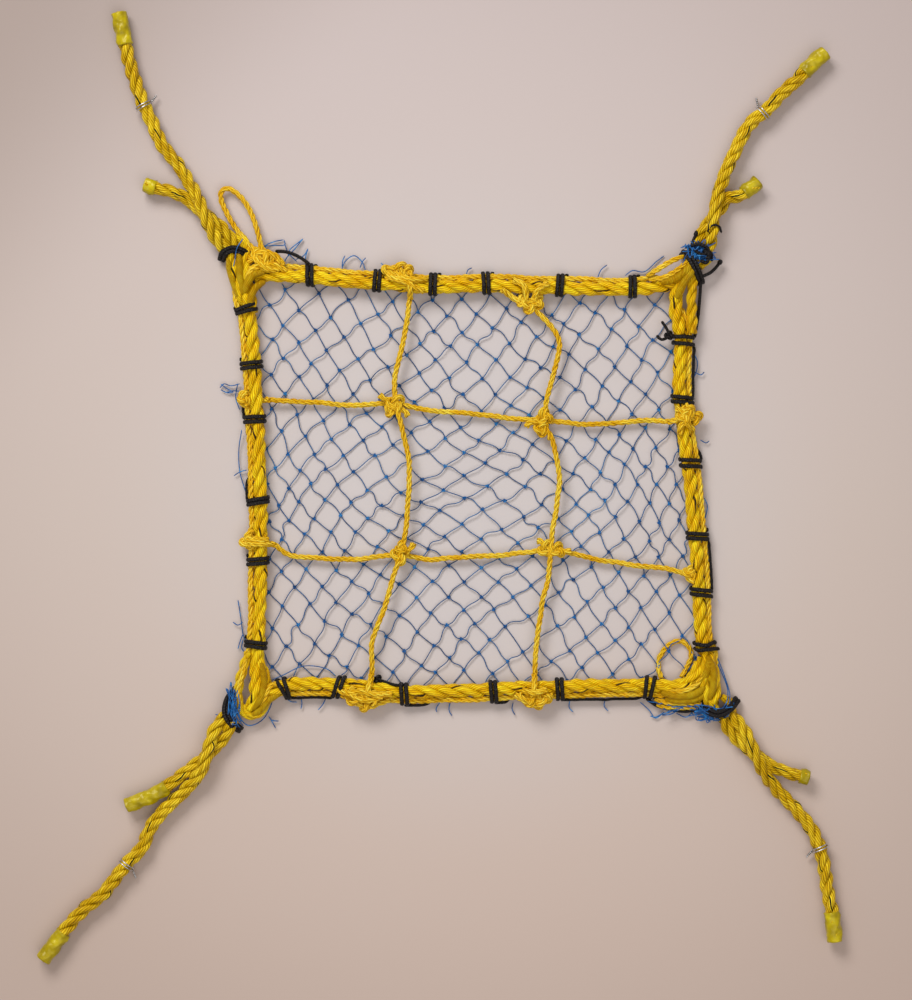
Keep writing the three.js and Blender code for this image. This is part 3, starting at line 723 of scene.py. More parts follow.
# Each end knot on the frame: lumps as (along, outward, up, size, turn), and strands through points of
# (along, outward, up), all counted from the station of the knot in the middle of the rope.
END_KNOTS = {
    ("lengthwise", "left", "back"): {
        "lumps": [(-6, 8.8, 9.2, 5.6, 0.4), (-12, 7.8, 8.6, 4.4, 1.9), (0, 8.6, 9.0, 3.8, 2.6)],
        "strands": [[(2.6, -9, 7.5), (2.4, -4, 11.8), (1.6, 0, 13.4), (-1, 5, 12.4), (-5, 8, 10)],
                    [(-14, 5.5, 9.5), (-8, 3.5, 13), (-1, 1.8, 13.6), (6, -1.5, 13.2), (11, -3.5, 11)],
                    [(-10, 9, 8), (-3, 5, 12.8), (5, 3.6, 13), (13, 5, 9.4)]],
    },
    ("lengthwise", "left", "front"): {
        "lumps": [(-5, 6.5, 9.6, 6.0, 1.2), (5, 6.5, 9.4, 5.6, 0.2), (0.5, 10.5, 7.6, 4.6, 2.2)],
        "strands": [[(3.4, -9, 7.5), (3.2, -4, 11.6), (2.4, 1, 13.2), (2, 6, 11.6)],
                    [(-19, 2.5, 9.6), (-11, 5, 12), (-3, 3, 13.4), (7, 3.5, 13.2), (18, 2, 10.6)],
                    [(-15, 6, 7), (-7, 10, 7.6), (2, 12.6, 7), (10, 9.6, 7.6), (17, 6, 7)],
                    [(-13, 3, 12), (-5, 7.4, 12.6), (4, 7.8, 12.4), (12, 4.4, 12)]],
    },
    ("lengthwise", "right", "back"): {
        "lumps": [(-1, -12, 8.4, 5.0, 2.0), (4, -9.6, 8.0, 4.2, 0.6), (-5, -9.6, 7.4, 3.6, 1.3)],
        "strands": [[(3, -14, 8), (2, -8, 10), (5, -1, 13), (11, 2, 12)],
                    [(-19, -2.5, 12), (-13, -7, 9), (-6, -11, 8), (-1, -13, 8)],
                    [(-3, -11, 9), (-3.5, -5, 11.6), (-6, 1, 13), (-12, 4, 11.5)]],
    },
    ("lengthwise", "right", "front"): {
        "lumps": [(-4, 6.2, 10.2, 5.4, 0.1), (5, 6.8, 9.6, 5.2, 1.4), (1, 10, 7.6, 4.0, 2.7)],
        "strands": [[(0.6, -9, 7.5), (0.4, -4, 11.6), (-0.4, 1, 13.4), (-2, 6, 12)],
                    [(-13, 4, 10.5), (-6, 8.6, 11), (3, 9.4, 10.6), (12, 5, 9.5)],
                    [(-8, 1, 12.6), (0, 3, 14), (8, 1.4, 12.8)]],
    },
    ("crosswise", "back", "left"): {
        "lumps": [(0, 7.6, 7.6, 3.6, 0.7)],
        "strands": [[(-1.5, -9, 6.5), (-1.5, -4, 2.6), (-2.4, 3, 1.9), (-2, 8.5, 4)],
                    [(-4.5, 5.5, 8), (-3, 9.6, 6.6), (3, 9.8, 6.6), (5, 5.5, 8)]],
    },
    ("crosswise", "back", "right"): {
        "lumps": [(0.5, 8.4, 8.0, 4.4, 1.9), (1.5, 1.5, 12.6, 4.2, 0.4), (5, 4.5, 11.5, 3.6, 2.2)],
        "strands": [[(0, -9, 7), (0.4, -4.5, 11.4), (1, 0, 13), (0, 6, 11.6), (-0.6, 10, 7.4)],
                    [(8, -3, 11.4), (5, 1, 13.4), (-3, 2.6, 13.4), (-7, 6.4, 9)],
                    [(10, 3, 11.8), (3, 6.6, 11.6), (-4, -1.6, 13.2), (-9, -3, 11)]],
    },
    ("crosswise", "front", "left"): {
        "lumps": [(1.5, 8.4, 7.2, 4.2, 2.6)],
        "strands": [[(0, -9, 6.8), (0.3, -4.6, 10.4), (0.6, 0, 12.6), (0.8, 5, 11.2), (1, 9.6, 6.8)],
                    [(3, -5.2, 9.4), (3, -1, 12.8), (3.4, 4.6, 11.6), (4, 9.6, 7)],
                    [(10, 5.6, 7.6), (6, 8.6, 8.2), (1, 10.6, 7)]],
    },
    ("crosswise", "front", "right"): {
        "lumps": [(0, -5.4, 8.6, 3.8, 0.5)],
        "strands": [[(0, -9, 6.4), (0, -5, 9.6), (0.5, -1.6, 11)],
                    [(1.6, -3, 11.6), (-1.5, -7.2, 8), (-4.6, -5.4, 8.4), (-6, -2.4, 10.4)]],
    },
}


def end_knot(build, side, station, key):
    for along, out, up, size, turn in END_KNOTS[key]["lumps"]:
        place = side.place(station + along, out, up)[0]
        knot(build, place, size, GRID_KNOT_HEIGHT, turn, lean=(0.12, -0.1))
    for strand in END_KNOTS[key]["strands"]:
        along, out, up = np.array(strand, float).T
        twined(build, smooth(side.place(station + along, out, up)), TWINE_R * 1.12, phase=up[0])


def end_place(side, station, key):
    """Where a grid twine meets the first strand of its end knot."""
    along, out, up = END_KNOTS[key]["strands"][0][0]
    return tuple(side.place(station + along, out - 0.5, up)[0])


def grid_twine(kind, name, sides, stations, route, z, phase=0.0):
    ends = [(SIDE[side], at, (kind, name, side)) for side, at in zip(sides, stations)]
    start, finish = (end_place(*end) for end in ends)
    twine = Build()
    line = smooth([start, *((x, y, z) for x, y in route), finish], 0.9)
    twined(twine, swaying(line), phase=phase)
    for end in ends:
        end_knot(twine, *end)
    return twine


for name, (back, front, route) in LENGTHWISE.items():
    twine = grid_twine("lengthwise", name, ("back", "front"), (back, front), route, OVER_Z)
    twine.piece(f"lengthwise_twine_{name}", "laid", [TWINE], "twine", half_of(name))
for name, (left, right, route) in CROSSWISE.items():
    twine = grid_twine("crosswise", name, ("left", "right"), (left, right), route, UNDER_Z, phase=2)
    node = f"crosswise_twine_{name}"
    twine.piece(node, "laid", [TWINE], "twine", "fold", replaced=[f"{node}_left", f"{node}_right"])

# Where grid twines cross; each knot's lumps as (x, y, size, turn) and its cut ends, from that place
CROSSINGS = {
    "back_left": (-50.2, 54.8),
    "back_right": (46.9, 43.6),
    "front_left": (-47.5, -44.9),
    "front_right": (51.5, -40.9),
}
CROSSING_LOOKS = {
    "back_left": [(0.0, 0.0, 5.4, 0.3), (-3.5, -4.5, 3.4, 1.7)],
    "back_right": [(0.5, 2.5, 5.0, 1.1), (-1.5, -5.5, 4.2, 0.2)],
    "front_left": [(0.0, -0.5, 5.2, 2.2), (1.0, 5.0, 3.2, 0.9)],
    "front_right": [(-2.5, 0.0, 5.0, 0.8), (4.8, -0.8, 4.2, 2.9)],
}
CROSSING_STUBS = {
    "back_left": [[(-4, 2, 8), (-8.5, 3.5, 9), (-10.5, 5.5, 9)], [(3, -3, 8), (6.5, -5.5, 8.5), (8, -8, 8)]],
    "back_right": [[(-4, -1, 8), (-9, -1.5, 9), (-11.5, -3.5, 8)], [(2, -6, 8), (4.5, -10, 8.5),
                                                                    (5, -12, 8)]],
    "front_left": [[(4, 2, 8), (7.5, 5, 9), (9, 7.5, 8.5)]],
    "front_right": [[(5, 0, 8), (10.5, -1.5, 9), (13.5, -1, 9)], [(-3, 2, 8), (-6.5, 5, 8.6),
                                                                  (-8.5, 5.5, 8.2)]],
}


def crossing_knot(name, x, y):
    lump = Build()
    for dx, dy, size, turn in CROSSING_LOOKS[name]:
        knot(lump, (x + dx, y + dy, CROSSING_Z), size, CROSSING_HEIGHT, turn)
    for points in CROSSING_STUBS[name]:
        stub(lump, [(x + dx, y + dy, z) for dx, dy, z in points])
    return lump


for name, at in CROSSINGS.items():
    crossing_knot(name, *at).piece(f"crossing_knot_{name}", "tied", [TWINE], "twine", half_of(name))


# ---------------------------------------------------------------- net
# The net over half of its rows, and how far the slack in its middle draws the knots together
NET_WIDE, NET_DEEP = 146, 120
NET_MIDDLE = np.array([-5.6, -6.9])
HALF_COLUMNS, HALF_ROWS = 15, 11
SLACK_WIDE, SLACK_DEEP = 51, 20
LOWEST = NET_R + 0.05
# Where the trapped loop lifts the net, how far and over what reach
LIFT_AT, LIFT, LIFT_REACH = (133.5, -113.5), 3.4, 17


def net_place(i, j):
    """A knot of the net: meshes lie wide and low in the middle, tall at the two sides."""
    u, v = (i - j - 3) / HALF_COLUMNS, (-i - j - 7.3) / HALF_ROWS
    near_row, near_column = math.exp(-((v / 0.52) ** 2)), math.exp(-((u / 0.45) ** 2))
    x = (NET_WIDE - 1.06 * SLACK_WIDE * near_row) * u + SLACK_WIDE * near_row * math.tanh(u / 0.44)
    y = (NET_DEEP + 17 * u * u) * v - SLACK_DEEP * near_column * math.tanh(v / 0.6)
    ripple = np.array([1.3 * math.sin(9 * v + 4 * u), 1.5 * math.sin(11 * u - 6 * v + 1)])
    return np.array([x, y]) + NET_MIDDLE + ripple


def inside_frame(p, margin):
    front, back = (np.interp(p[0], SIDE[name].at, SIDE[name].middle[:, 1]) for name in ("front", "back"))
    left, right = (np.interp(p[1], SIDE[name].at, SIDE[name].middle[:, 0]) for name in ("left", "right"))
    return front - margin < p[1] < back + margin and left - margin < p[0] < right + margin


knots = {}
for i in range(-22, 18):
    for j in range(-24, 14):
        p = net_place(i, j) + rng.normal(0, 0.75, 2)
        if inside_frame(p, 2.5):
            from_loop = math.dist(p, LIFT_AT)
            up = 0.9 + abs(rng.normal(0, 0.5)) + LIFT * math.exp(-((from_loop / LIFT_REACH) ** 2))
            knots[i, j] = np.array([*p, up])

nets = {"left": Build(), "right": Build()}


def net_half(p):
    return nets["left" if p[0] < FOLD_X else "right"]


def net_strand(points, tint, step=1.4):
    line = above(smooth(points, step, 1.2), LOWEST)
    plain(net_half(line[len(line) // 2]), line, NET_R, sides=6, tint=tint)


def net_bar(a, b):
    """A slack bar between two knots, bowed one way or in an S."""
    along = b - a
    length = math.sqrt(along @ along)
    aside = np.array([-along[1], along[0], 0]) / length
    bow, twist, rise = rng.normal(0, 0.8), rng.normal(0, 0.6), rng.normal(0.3, 0.4)
    share = np.linspace(0, 1, 6)[:, None]
    line = a + along * share + aside * (bow * np.sin(np.pi * share) + twist * np.sin(2 * np.pi * share))
    line[:, 2] += (rise * np.sin(np.pi * share))[:, 0]
    line = above(smooth(line, length / 8), LOWEST)
    stops = np.linspace(0, 1, 9)
    tint = np.interp(stops, [0, 0.12, 0.88, 1], [0.75, 0.0, 0.0, 0.75])
    tint = np.interp(np.linspace(0, 1, len(line)), stops, tint)
    plain(net_half((a + b) / 2), line, NET_R, sides=6, tint=tint, round_ends=False)


for (i, j), here in knots.items():
    loop = knot_loop(here, 1.15, 0.45, rng.uniform(0, 6), count=22)
    plain(net_half(here), loop, NET_R * 0.95, sides=5, tint=1.0)
    ahead, behind = [(i + 1, j), (i, j + 1)], [(i - 1, j), (i, j - 1)]
    for near in ahead:
        if near in knots:
            net_bar(here, knots[near])
    for near in ahead + behind:
        if near not in knots:
            tip = here + (np.array([*net_place(*near), 1.0]) - here) * rng.uniform(0.25, 0.6)
            net_strand([here, (here + tip) / 2 + rng.normal(0, 0.5, 3), tip], 0.5)


# Blue ends of the net that stick out past the frame, each sinking 0.5 mm a point from 3 mm
WHISKERS = [
    [(-136.6, 155.1), (-136, 159.1), (-130.7, 161.7), (-124.7, 163)],
    [(-121.4, 152.5), (-120.1, 156.4), (-115.5, 160.4), (-111.5, 163.7)],
    [(-110.2, 147.2), (-109.6, 152.5), (-108.2, 157.1)],
    [(-85.8, 145.2), (-85.1, 149.8), (-83.8, 152.5)],
    [(-73.9, 144.5), (-71.9, 149.2), (-70, 151.1)],
    [(-59.4, 140.6), (-58.1, 145.2), (-60.1, 147.8)],
    [(-4, 139.3), (-2.6, 143.2), (0, 144.5)],
    [(82.5, 137.3), (85.1, 143.2), (89.1, 146.5)],
    [(101, 139.3), (105.6, 142.6), (113.5, 141.9), (121.4, 148.5), (126.7, 152.5)],
    [(-153.1, 68), (-159.1, 66.7), (-163.7, 68), (-166.3, 65.3)],
    [(-151.8, 62.7), (-157.7, 63.4), (-162.4, 62)],
    [(-148.5, 11.2), (-153.1, 9.9), (-157.1, 7.3)],
    [(-151.1, -89.1), (-154.4, -91.1), (-157.7, -89.1)],
    [(-148.5, -110.9), (-151.8, -106.3), (-151.1, -101)],
    [(-124.7, -136), (-120.1, -141.2), (-115.5, -141.9)],
    [(-113.5, -136.6), (-112.2, -142.6), (-112.9, -146.5)],
    [(-95.7, -137.3), (-98.3, -143.2), (-101.6, -147.2)],
    [(-14.5, -141.9), (-15.2, -147.2), (-13.2, -151.1)],
    [(-21.1, -141.9), (-23.8, -146.5), (-23.1, -148.5)],
    [(27.1, -141.9), (26.4, -146.5), (28.4, -150.5)],
    [(64.7, -139.9), (64, -145.2), (66.7, -148.5)],
    [(87.8, -139.9), (87.1, -144.5), (89.8, -147.8)],
    [(110.9, -141.9), (116.8, -147.2), (120.8, -152.5), (126.7, -148.5)],
    [(143.9, -140.6), (143.9, -147.2), (146.5, -151.1)],
    [(150.5, 31), (154.4, 29), (156.4, 30.4)],
    [(146.5, 75.9), (151.1, 73.9), (153.1, 75.9)],
]
for points in WHISKERS:
    net_strand([(x, y, 3 - 0.5 * k) for k, (x, y) in enumerate(points)], 0.9, step=1.0)

# Drawn-up edge of the net and the ends tied in at the corners
BRIGHT_LINES = [
    [(-138.6, -131.3, 6), (-133.3, -128, 4), (-124.7, -124.1, 3), (-110.9, -118.1, 2.4),
     (-95.7, -120.1, 2), (-89.8, -124.7, 2)],
    [(-155.8, -140.6, 10), (-153.1, -151.1, 8), (-147.2, -157.1, 5), (-138.6, -153.8, 5),
     (-133.3, -145.9, 5), (-130.7, -136.6, 5)],
    [(-153.8, -134, 8), (-159.7, -142.6, 13), (-157.7, -151.1, 12.6), (-152.5, -158.4, 9)],
    [(-152.5, -135.3, 9), (-157.1, -143.2, 13.4), (-155.1, -151.1, 12.4), (-150.5, -157.1, 8)],
    [(-134, -151.1, 4), (-132, -153.8, 3), (-127.4, -154.4, 2)],
    [(-133.3, -151.8, 4), (-131.3, -155.8, 3), (-129.4, -159.1, 2)],
    [(-154.4, -156.4, 6), (-161, -151.1, 9), (-169, -149.8, 6)],
    [(-154.4, -74.6, 2), (-152.5, -86.5, 2), (-151.1, -97, 2), (-149.2, -102.3, 4)],
    [(-151.1, -97, 2), (-153.1, -102.3, 2), (-154.4, -106.9, 2)],
    [(-138.6, 158.4, 6), (-130.7, 159.1, 4), (-123.4, 159.7, 3), (-124.1, 163, 2)],
    [(-123.4, 159.7, 3), (-120.8, 153.8, 3), (-115.5, 148.5, 5)],
    [(-111.5, 163.7, 2), (-116.8, 157.1, 3), (-122.1, 151.1, 4), (-124.1, 147.2, 6)],
    [(-108.2, 157.1, 2), (-110.9, 152.5, 3), (-116.2, 149.8, 5)],
    [(-150.5, 163, 11), (-154.4, 156.4, 14), (-155.8, 148.5, 13), (-158.4, 139.3, 8)],
    [(-86.5, 141.2, 4), (-83.8, 148.5, 3), (-77.9, 152.5, 2.4), (-72.6, 148.5, 3), (-70, 141.9, 5)],
    [(158.4, -106.3, 5), (161.7, -112.9, 5), (166.3, -124.7, 5), (169.6, -136.6, 6), (168.3, -144.5, 10),
     (161, -151.1, 8)],
    [(159.1, -110.9, 5), (164.3, -122.1, 5), (168.3, -134, 6), (166.3, -143.2, 11), (158.4, -149.8, 7)],
    [(150.5, -141.9, 11), (153.1, -149.8, 9), (161, -153.8, 7), (168.3, -149.8, 10), (172.3, -141.9, 8)],
    [(147.8, -143.2, 10), (154.4, -148.5, 12), (162.4, -151.1, 10), (167.6, -143.2, 13)],
    [(126.7, -148.5, 3), (120.8, -151.8, 2), (117.5, -151.1, 2)],
    [(134.6, -149.2, 3), (141.2, -151.8, 2.6), (145.2, -148.5, 4)],
    [(-154.4, 68, 4), (-155.8, 58.7, 2.6), (-153.1, 50.8, 4)],
    [(-151.8, 37.6, 4), (-153.8, 24.4, 2.4), (-153.1, 9.9, 2.4), (-149.2, -3.3, 4)],
    [(-157.7, 62.7, 2.4), (-162.4, 65.3, 2), (-165.7, 68, 2)],
    [(-157.1, 62.7, 2.4), (-161, 62, 2), (-165.7, 64, 2)],
    [(146.5, 87.1, 5), (148.5, 82.5, 3), (147.8, 75.9, 3), (145.2, 70.6, 5)],
    [(153.1, -7.3, 4), (155.1, -12.5, 2.4), (154.4, -17.8, 2.4), (152.5, -23.1, 4)],
]
for points in BRIGHT_LINES:
    net_strand(points, 0.85, step=1.0)


def tangle(center, size, count):
    """A bunch of net ends pulled together under a seizing."""
    for _ in range(count):
        points = rng.normal(0, 0.55, (5, 3)) * size + center
        net_strand(above(points, center[2] - 2), 1.0, step=0.9)


tangle((149.8, 153.8, 12), (8.0, 7.0, 3.0), 22)
tangle((143.9, 156.4, 10), (4.5, 3.5, 3.0), 8)
tangle((155.8, -148.5, 9), (10.0, 5.0, 3.5), 16)
tangle((139.9, -143.9, 6), (17.0, 4.0, 2.5), 10)
tangle((-157.1, -145.9, 11), (4.0, 11.0, 2.5), 9)

for name, build in nets.items():
    build.piece(f"net_{name}", "knotted", [NET], "net", "fold")


# ---------------------------------------------------------------- legs
# Each leg: its corner, the way it leaves, which side its tail is on (1 is left), the routes of its
# doubled neck, its rope and its tail, the lengths of its tapes and the share of it before the wire
LEGS = {
    "back_left": {
        "at": (-155.8, 152.5), "toward": (-0.59, 0.81), "tail_side": 1,
        "neck": [(-172, 174.9), (-181.5, 187)],
        "route": [(-190.1, 199.3), (-196.9, 213.8), (-205.7, 228.8), (-211.2, 241.2), (-217.1, 252.9),
                  (-223.7, 273.6), (-227.1, 286.4), (-232.5, 311.5)],
        "tail": [(-198.5, 194.4), (-207, 196.4), (-215.2, 198.7)],
        "tape": 21, "tail_tape": 8, "wire": 0.64,
    },
    "back_right": {
        "at": (145.9, 146.5), "toward": (0.41, 0.91), "tail_side": -1,
        "neck": [(159.1, 177.9), (163, 186)],
        "route": [(167.6, 198.7), (171.2, 212.2), (176.6, 227.7), (184.1, 240.2), (193.4, 247.9),
                  (203.5, 258.9), (214.4, 268.1), (223.7, 278.2), (232.1, 285.8)],
        "tail": [(176.5, 191.5), (182.5, 196), (188.1, 200.5)],
        "tape": 19, "tail_tape": 12, "wire": 0.65,
    },
    "front_left": {
        "at": (-157.1, -148.5), "toward": (-0.55, -0.84), "tail_side": -1,
        "neck": [(-171.5, -171.5), (-178.9, -182.5)],
        "route": [(-188.4, -194), (-203.5, -212.9), (-211.9, -224.3), (-217.1, -237.5), (-225.4, -246.2),
                  (-235, -257.7), (-244.3, -269), (-253.8, -276.5), (-264.7, -288), (-282.2, -310.7)],
        "tail": [(-200.5, -197), (-209.2, -202.5), (-218, -206.2), (-227, -209.9)],
        "tape": 23, "tail_tape": 29, "wire": 0.59,
    },
    "front_right": {
        "at": (165, -147.2), "toward": (0.58, -0.82), "tail_side": 1,
        "neck": [(184.1, -174), (193.1, -184.1)],
        "route": [(201.3, -194), (209.6, -205.9), (216.5, -216.5), (222.4, -224.1), (229.5, -238.9),
                  (232.3, -252.6), (233.9, -266.3), (236.1, -277.2), (238.9, -298.6)],
        "tail": [(211.5, -189), (216, -190.2), (221, -191.5)],
        "tape": 20, "tail_tape": 6, "wire": 0.63,
    },
}
# Along the way out: where the leg starts, where its joint is and between which places it bends
LEG_START, LEG_AXIS, BEND_START, BEND_END = 4, 16.5, 5, 30
TAPE_R, TAIL_TAPE_R = 5.15, 4.95
WIRE_R, WIRE_TURNS, WIRE_LOOP_R = 0.42, 1.6, 5.5


def corner_place(leg, along):
    """A place on the leg's way out from its corner."""
    return (*(np.array(leg["at"]) + unit(np.array(leg["toward"])) * along), ROPE_Z)


def beside(line, aside, up):
    """A line beside another one, aside to its left and up."""
    moved = line + leftward(line) * np.asarray(aside)[:, None]
    moved[:, 2] = line[:, 2] + up
    return moved


def neck_lines(leg):
    """Leg rope and tucked end, wound round each other along the doubled neck."""
    out = corner_place(leg, LEG_START), corner_place(leg, LEG_AXIS)
    middle = smooth([*out, *leg["neck"], *leg["route"]], 1.0)
    s = arc(middle)
    split = np.argmin(np.linalg.norm(middle[:, :2] - np.array(leg["route"][0]), axis=1))
    share = np.clip(s / s[split], 0, 1)
    apart = np.interp(share, [0, 0.2, 0.8, 1], [3.2, 4.2, 4.4, 3.6])
    fade = np.clip(1 - (s - s[split]) / 30, 0, 1)
    fade = fade * fade * (3 - 2 * fade)
    turn = math.pi * (1 - share) * 1.15
    aside = leg["tail_side"] * apart * np.cos(turn)
    up = apart * np.sin(turn)
    rise = 1.6 * np.sin(np.pi * share)
    rope = above(beside(middle, -aside * fade, up * fade * 0.8 + rise), ROPE_R + 0.2)
    tuck = above(beside(middle, aside, -up * 0.75 + rise), 4.5)
    return rope, tuck[:split + 1]


def spliced_line(leg, tuck_line):
    """The tucked end, carried on along its short tail."""
    tail = smooth(leg["tail"])
    return smooth([*tuck_line[:-8:9], *tail[::6], tail[-1]], 0.9)


def leg_rope(name, line):
    rope = Build()
    swell = np.interp(arc(line), [0, 8, 60, 90], [0.84, 0.95, 0.97, 1.0])
    laid(rope, line, ROPE_R * swell, LEG_LAY, phase=len(name) * 0.7, full=0.5)
    return rope


def leg_splice(line):
    tuck = Build()
    s = arc(line)
    laid(tuck, line, np.interp(s, [0, 10, s[-1]], [3.8, 4.3, 4.5]), LEG_LAY, phase=2.0, full=0.5)
    return tuck


def wound_tape(line, radius, length):
    """Shiny tape wound over a rope's end and pinched shut past it."""
    s = arc(line)
    cover = line[s > s[-1] - length]
    heading = unit(cover[-1] - cover[-2])
    cover = evenly(np.concatenate([cover, cover[-1] + heading * np.array([[0.6], [1.3]])]), 0.7)
    s = arc(cover)
    a, l = np.meshgrid(round_angles(40), s)
    strands = 0.32 * np.cos(3 * (a - 2 * np.pi * l / LEG_LAY))
    creases = (0.12 * np.sin(5 * a + l * 0.5 + np.sin(l * 0.4) * 2) + 0.08 * np.sin(9 * a - l * 0.8)
               + 0.14 * np.sin(l * 0.6 + 2 * np.cos(a)) + 0.07 * np.sin(2 * a + l * 1.7))
    open_end = np.clip(s[-1] - s, 0, 1)[:, None]
    r = (radius + strands + creases) * np.sqrt(np.clip(1 - (1 - open_end) ** 2, 0.05, 1))
    tape = Build()
    tape.tube(ring_points(cover, *frames(cover), r * np.cos(a), r * np.sin(a)), s)
    return tape


def wire_tie(leg, line):
    """Thin wire wound round the leg, its two ends twisted together."""
    wire = Build()
    at = int(len(line) * leg["wire"])
    middle, heading = line[at], unit(line[at + 1] - line[at - 1])
    aside = unit(np.array([-heading[1], heading[0], 0.0]))
    t = np.linspace(0, 2 * np.pi * WIRE_TURNS, 70)[:, None]
    ring = middle + heading * (t / t[-1] - 0.5) * 3.0 + aside * WIRE_LOOP_R * np.cos(t)
    ring[:, 2] += 5.3 * np.sin(t[:, 0])
    plain(wire, above(ring, 0.6), WIRE_R)
    out = -leg["tail_side"]
    u = np.linspace(0, 1, 40)[:, None]
    for turn in (0, math.pi):
        stem = middle + aside * out * (5.0 + 5.5 * u) + heading * (0.45 * np.cos(u * 16 + turn) + 3 * u)
        stem[:, 2] = (5.5 + 0.45 * np.sin(u * 16 + turn) - 1.5 * u)[:, 0]
        plain(wire, stem, 0.4, sides=7)
    return wire


for name, leg in LEGS.items():
    line, tuck_line = neck_lines(leg)
    tail_line = spliced_line(leg, tuck_line)
    body = f"leg_{name}"
    start, finish = (Vector(corner_place(leg, along)) * MM for along in (BEND_START, BEND_END))
    bend = half_of(name), body, start, finish
    rope = leg_rope(name, line).piece(f"leg_rope_{name}", "laid", [LEG_ROPE], "rope", bend=bend)
    tuck = leg_splice(tail_line).piece(f"leg_splice_{name}", "laid", [LEG_ROPE], "rope", bend=bend)
    tape = wound_tape(line, TAPE_R, leg["tape"])
    tape = tape.piece(f"leg_tape_{name}", "wound", [TAPE], "tape", body)
    end_tape = wound_tape(tail_line, TAIL_TAPE_R, leg["tail_tape"])
    end_tape = end_tape.piece(f"tail_tape_{name}", "wound", [TAPE], "tape", body)
    wire = wire_tie(leg, line).piece(f"wire_tie_{name}", "twisted", [WIRE], "wire", body)


# ---------------------------------------------------------------- corner eyes and seizings
# The rope eye on each corner that the leg loops through
EYES = {
    "back_left": [(-156.4, 151.1, 6.4), (-159.7, 157.1, 5.4), (-158.4, 162.4, 4.8), (-153.1, 163.7, 4.8),
                  (-149.8, 159.7, 5.6), (-149.8, 152.5, 7), (-149.5, 144.5, 7.4), (-147.8, 134, 7.4),
                  (-145.2, 123.4, 7.6), (-143.2, 114.8, 8.4)],
    "back_right": [(145.2, 101, 8.4), (144.5, 114.2, 7.8), (144.5, 126.1, 7.4), (145.9, 136.6, 7.2),
                   (147.2, 144.5, 6.6), (148.5, 151.8, 5.4), (151.8, 157.1, 4.8), (155.8, 154.4, 4.8),
                   (154.4, 148.5, 5.2), (150.5, 144.5, 5.6)],
    "front_left": [(-147.2, -108.9, 7.2), (-150.5, -119.5, 7), (-153.8, -131.3, 7), (-153.8, -141.9, 6.8),
                   (-149.2, -149.2, 6.8), (-141.9, -149.8, 6.8), (-136.6, -143.9, 7),
                   (-134.6, -134.6, 7.4), (-136, -124.1, 7.8), (-139.3, -113.5, 8)],
    "front_right": [(150.5, -111.5, 8.6), (151.8, -120.8, 9), (152.5, -131.3, 9), (154.4, -139.3, 8),
                    (159.1, -145.9, 6), (165, -151.1, 4.8), (170.9, -148.5, 4.8), (169.6, -141.9, 5),
                    (164.3, -137.9, 5.4)],
}
EYE_RADIUS = {"back_left": 3.9, "back_right": 3.5, "front_left": 3.4, "front_right": 3.5}
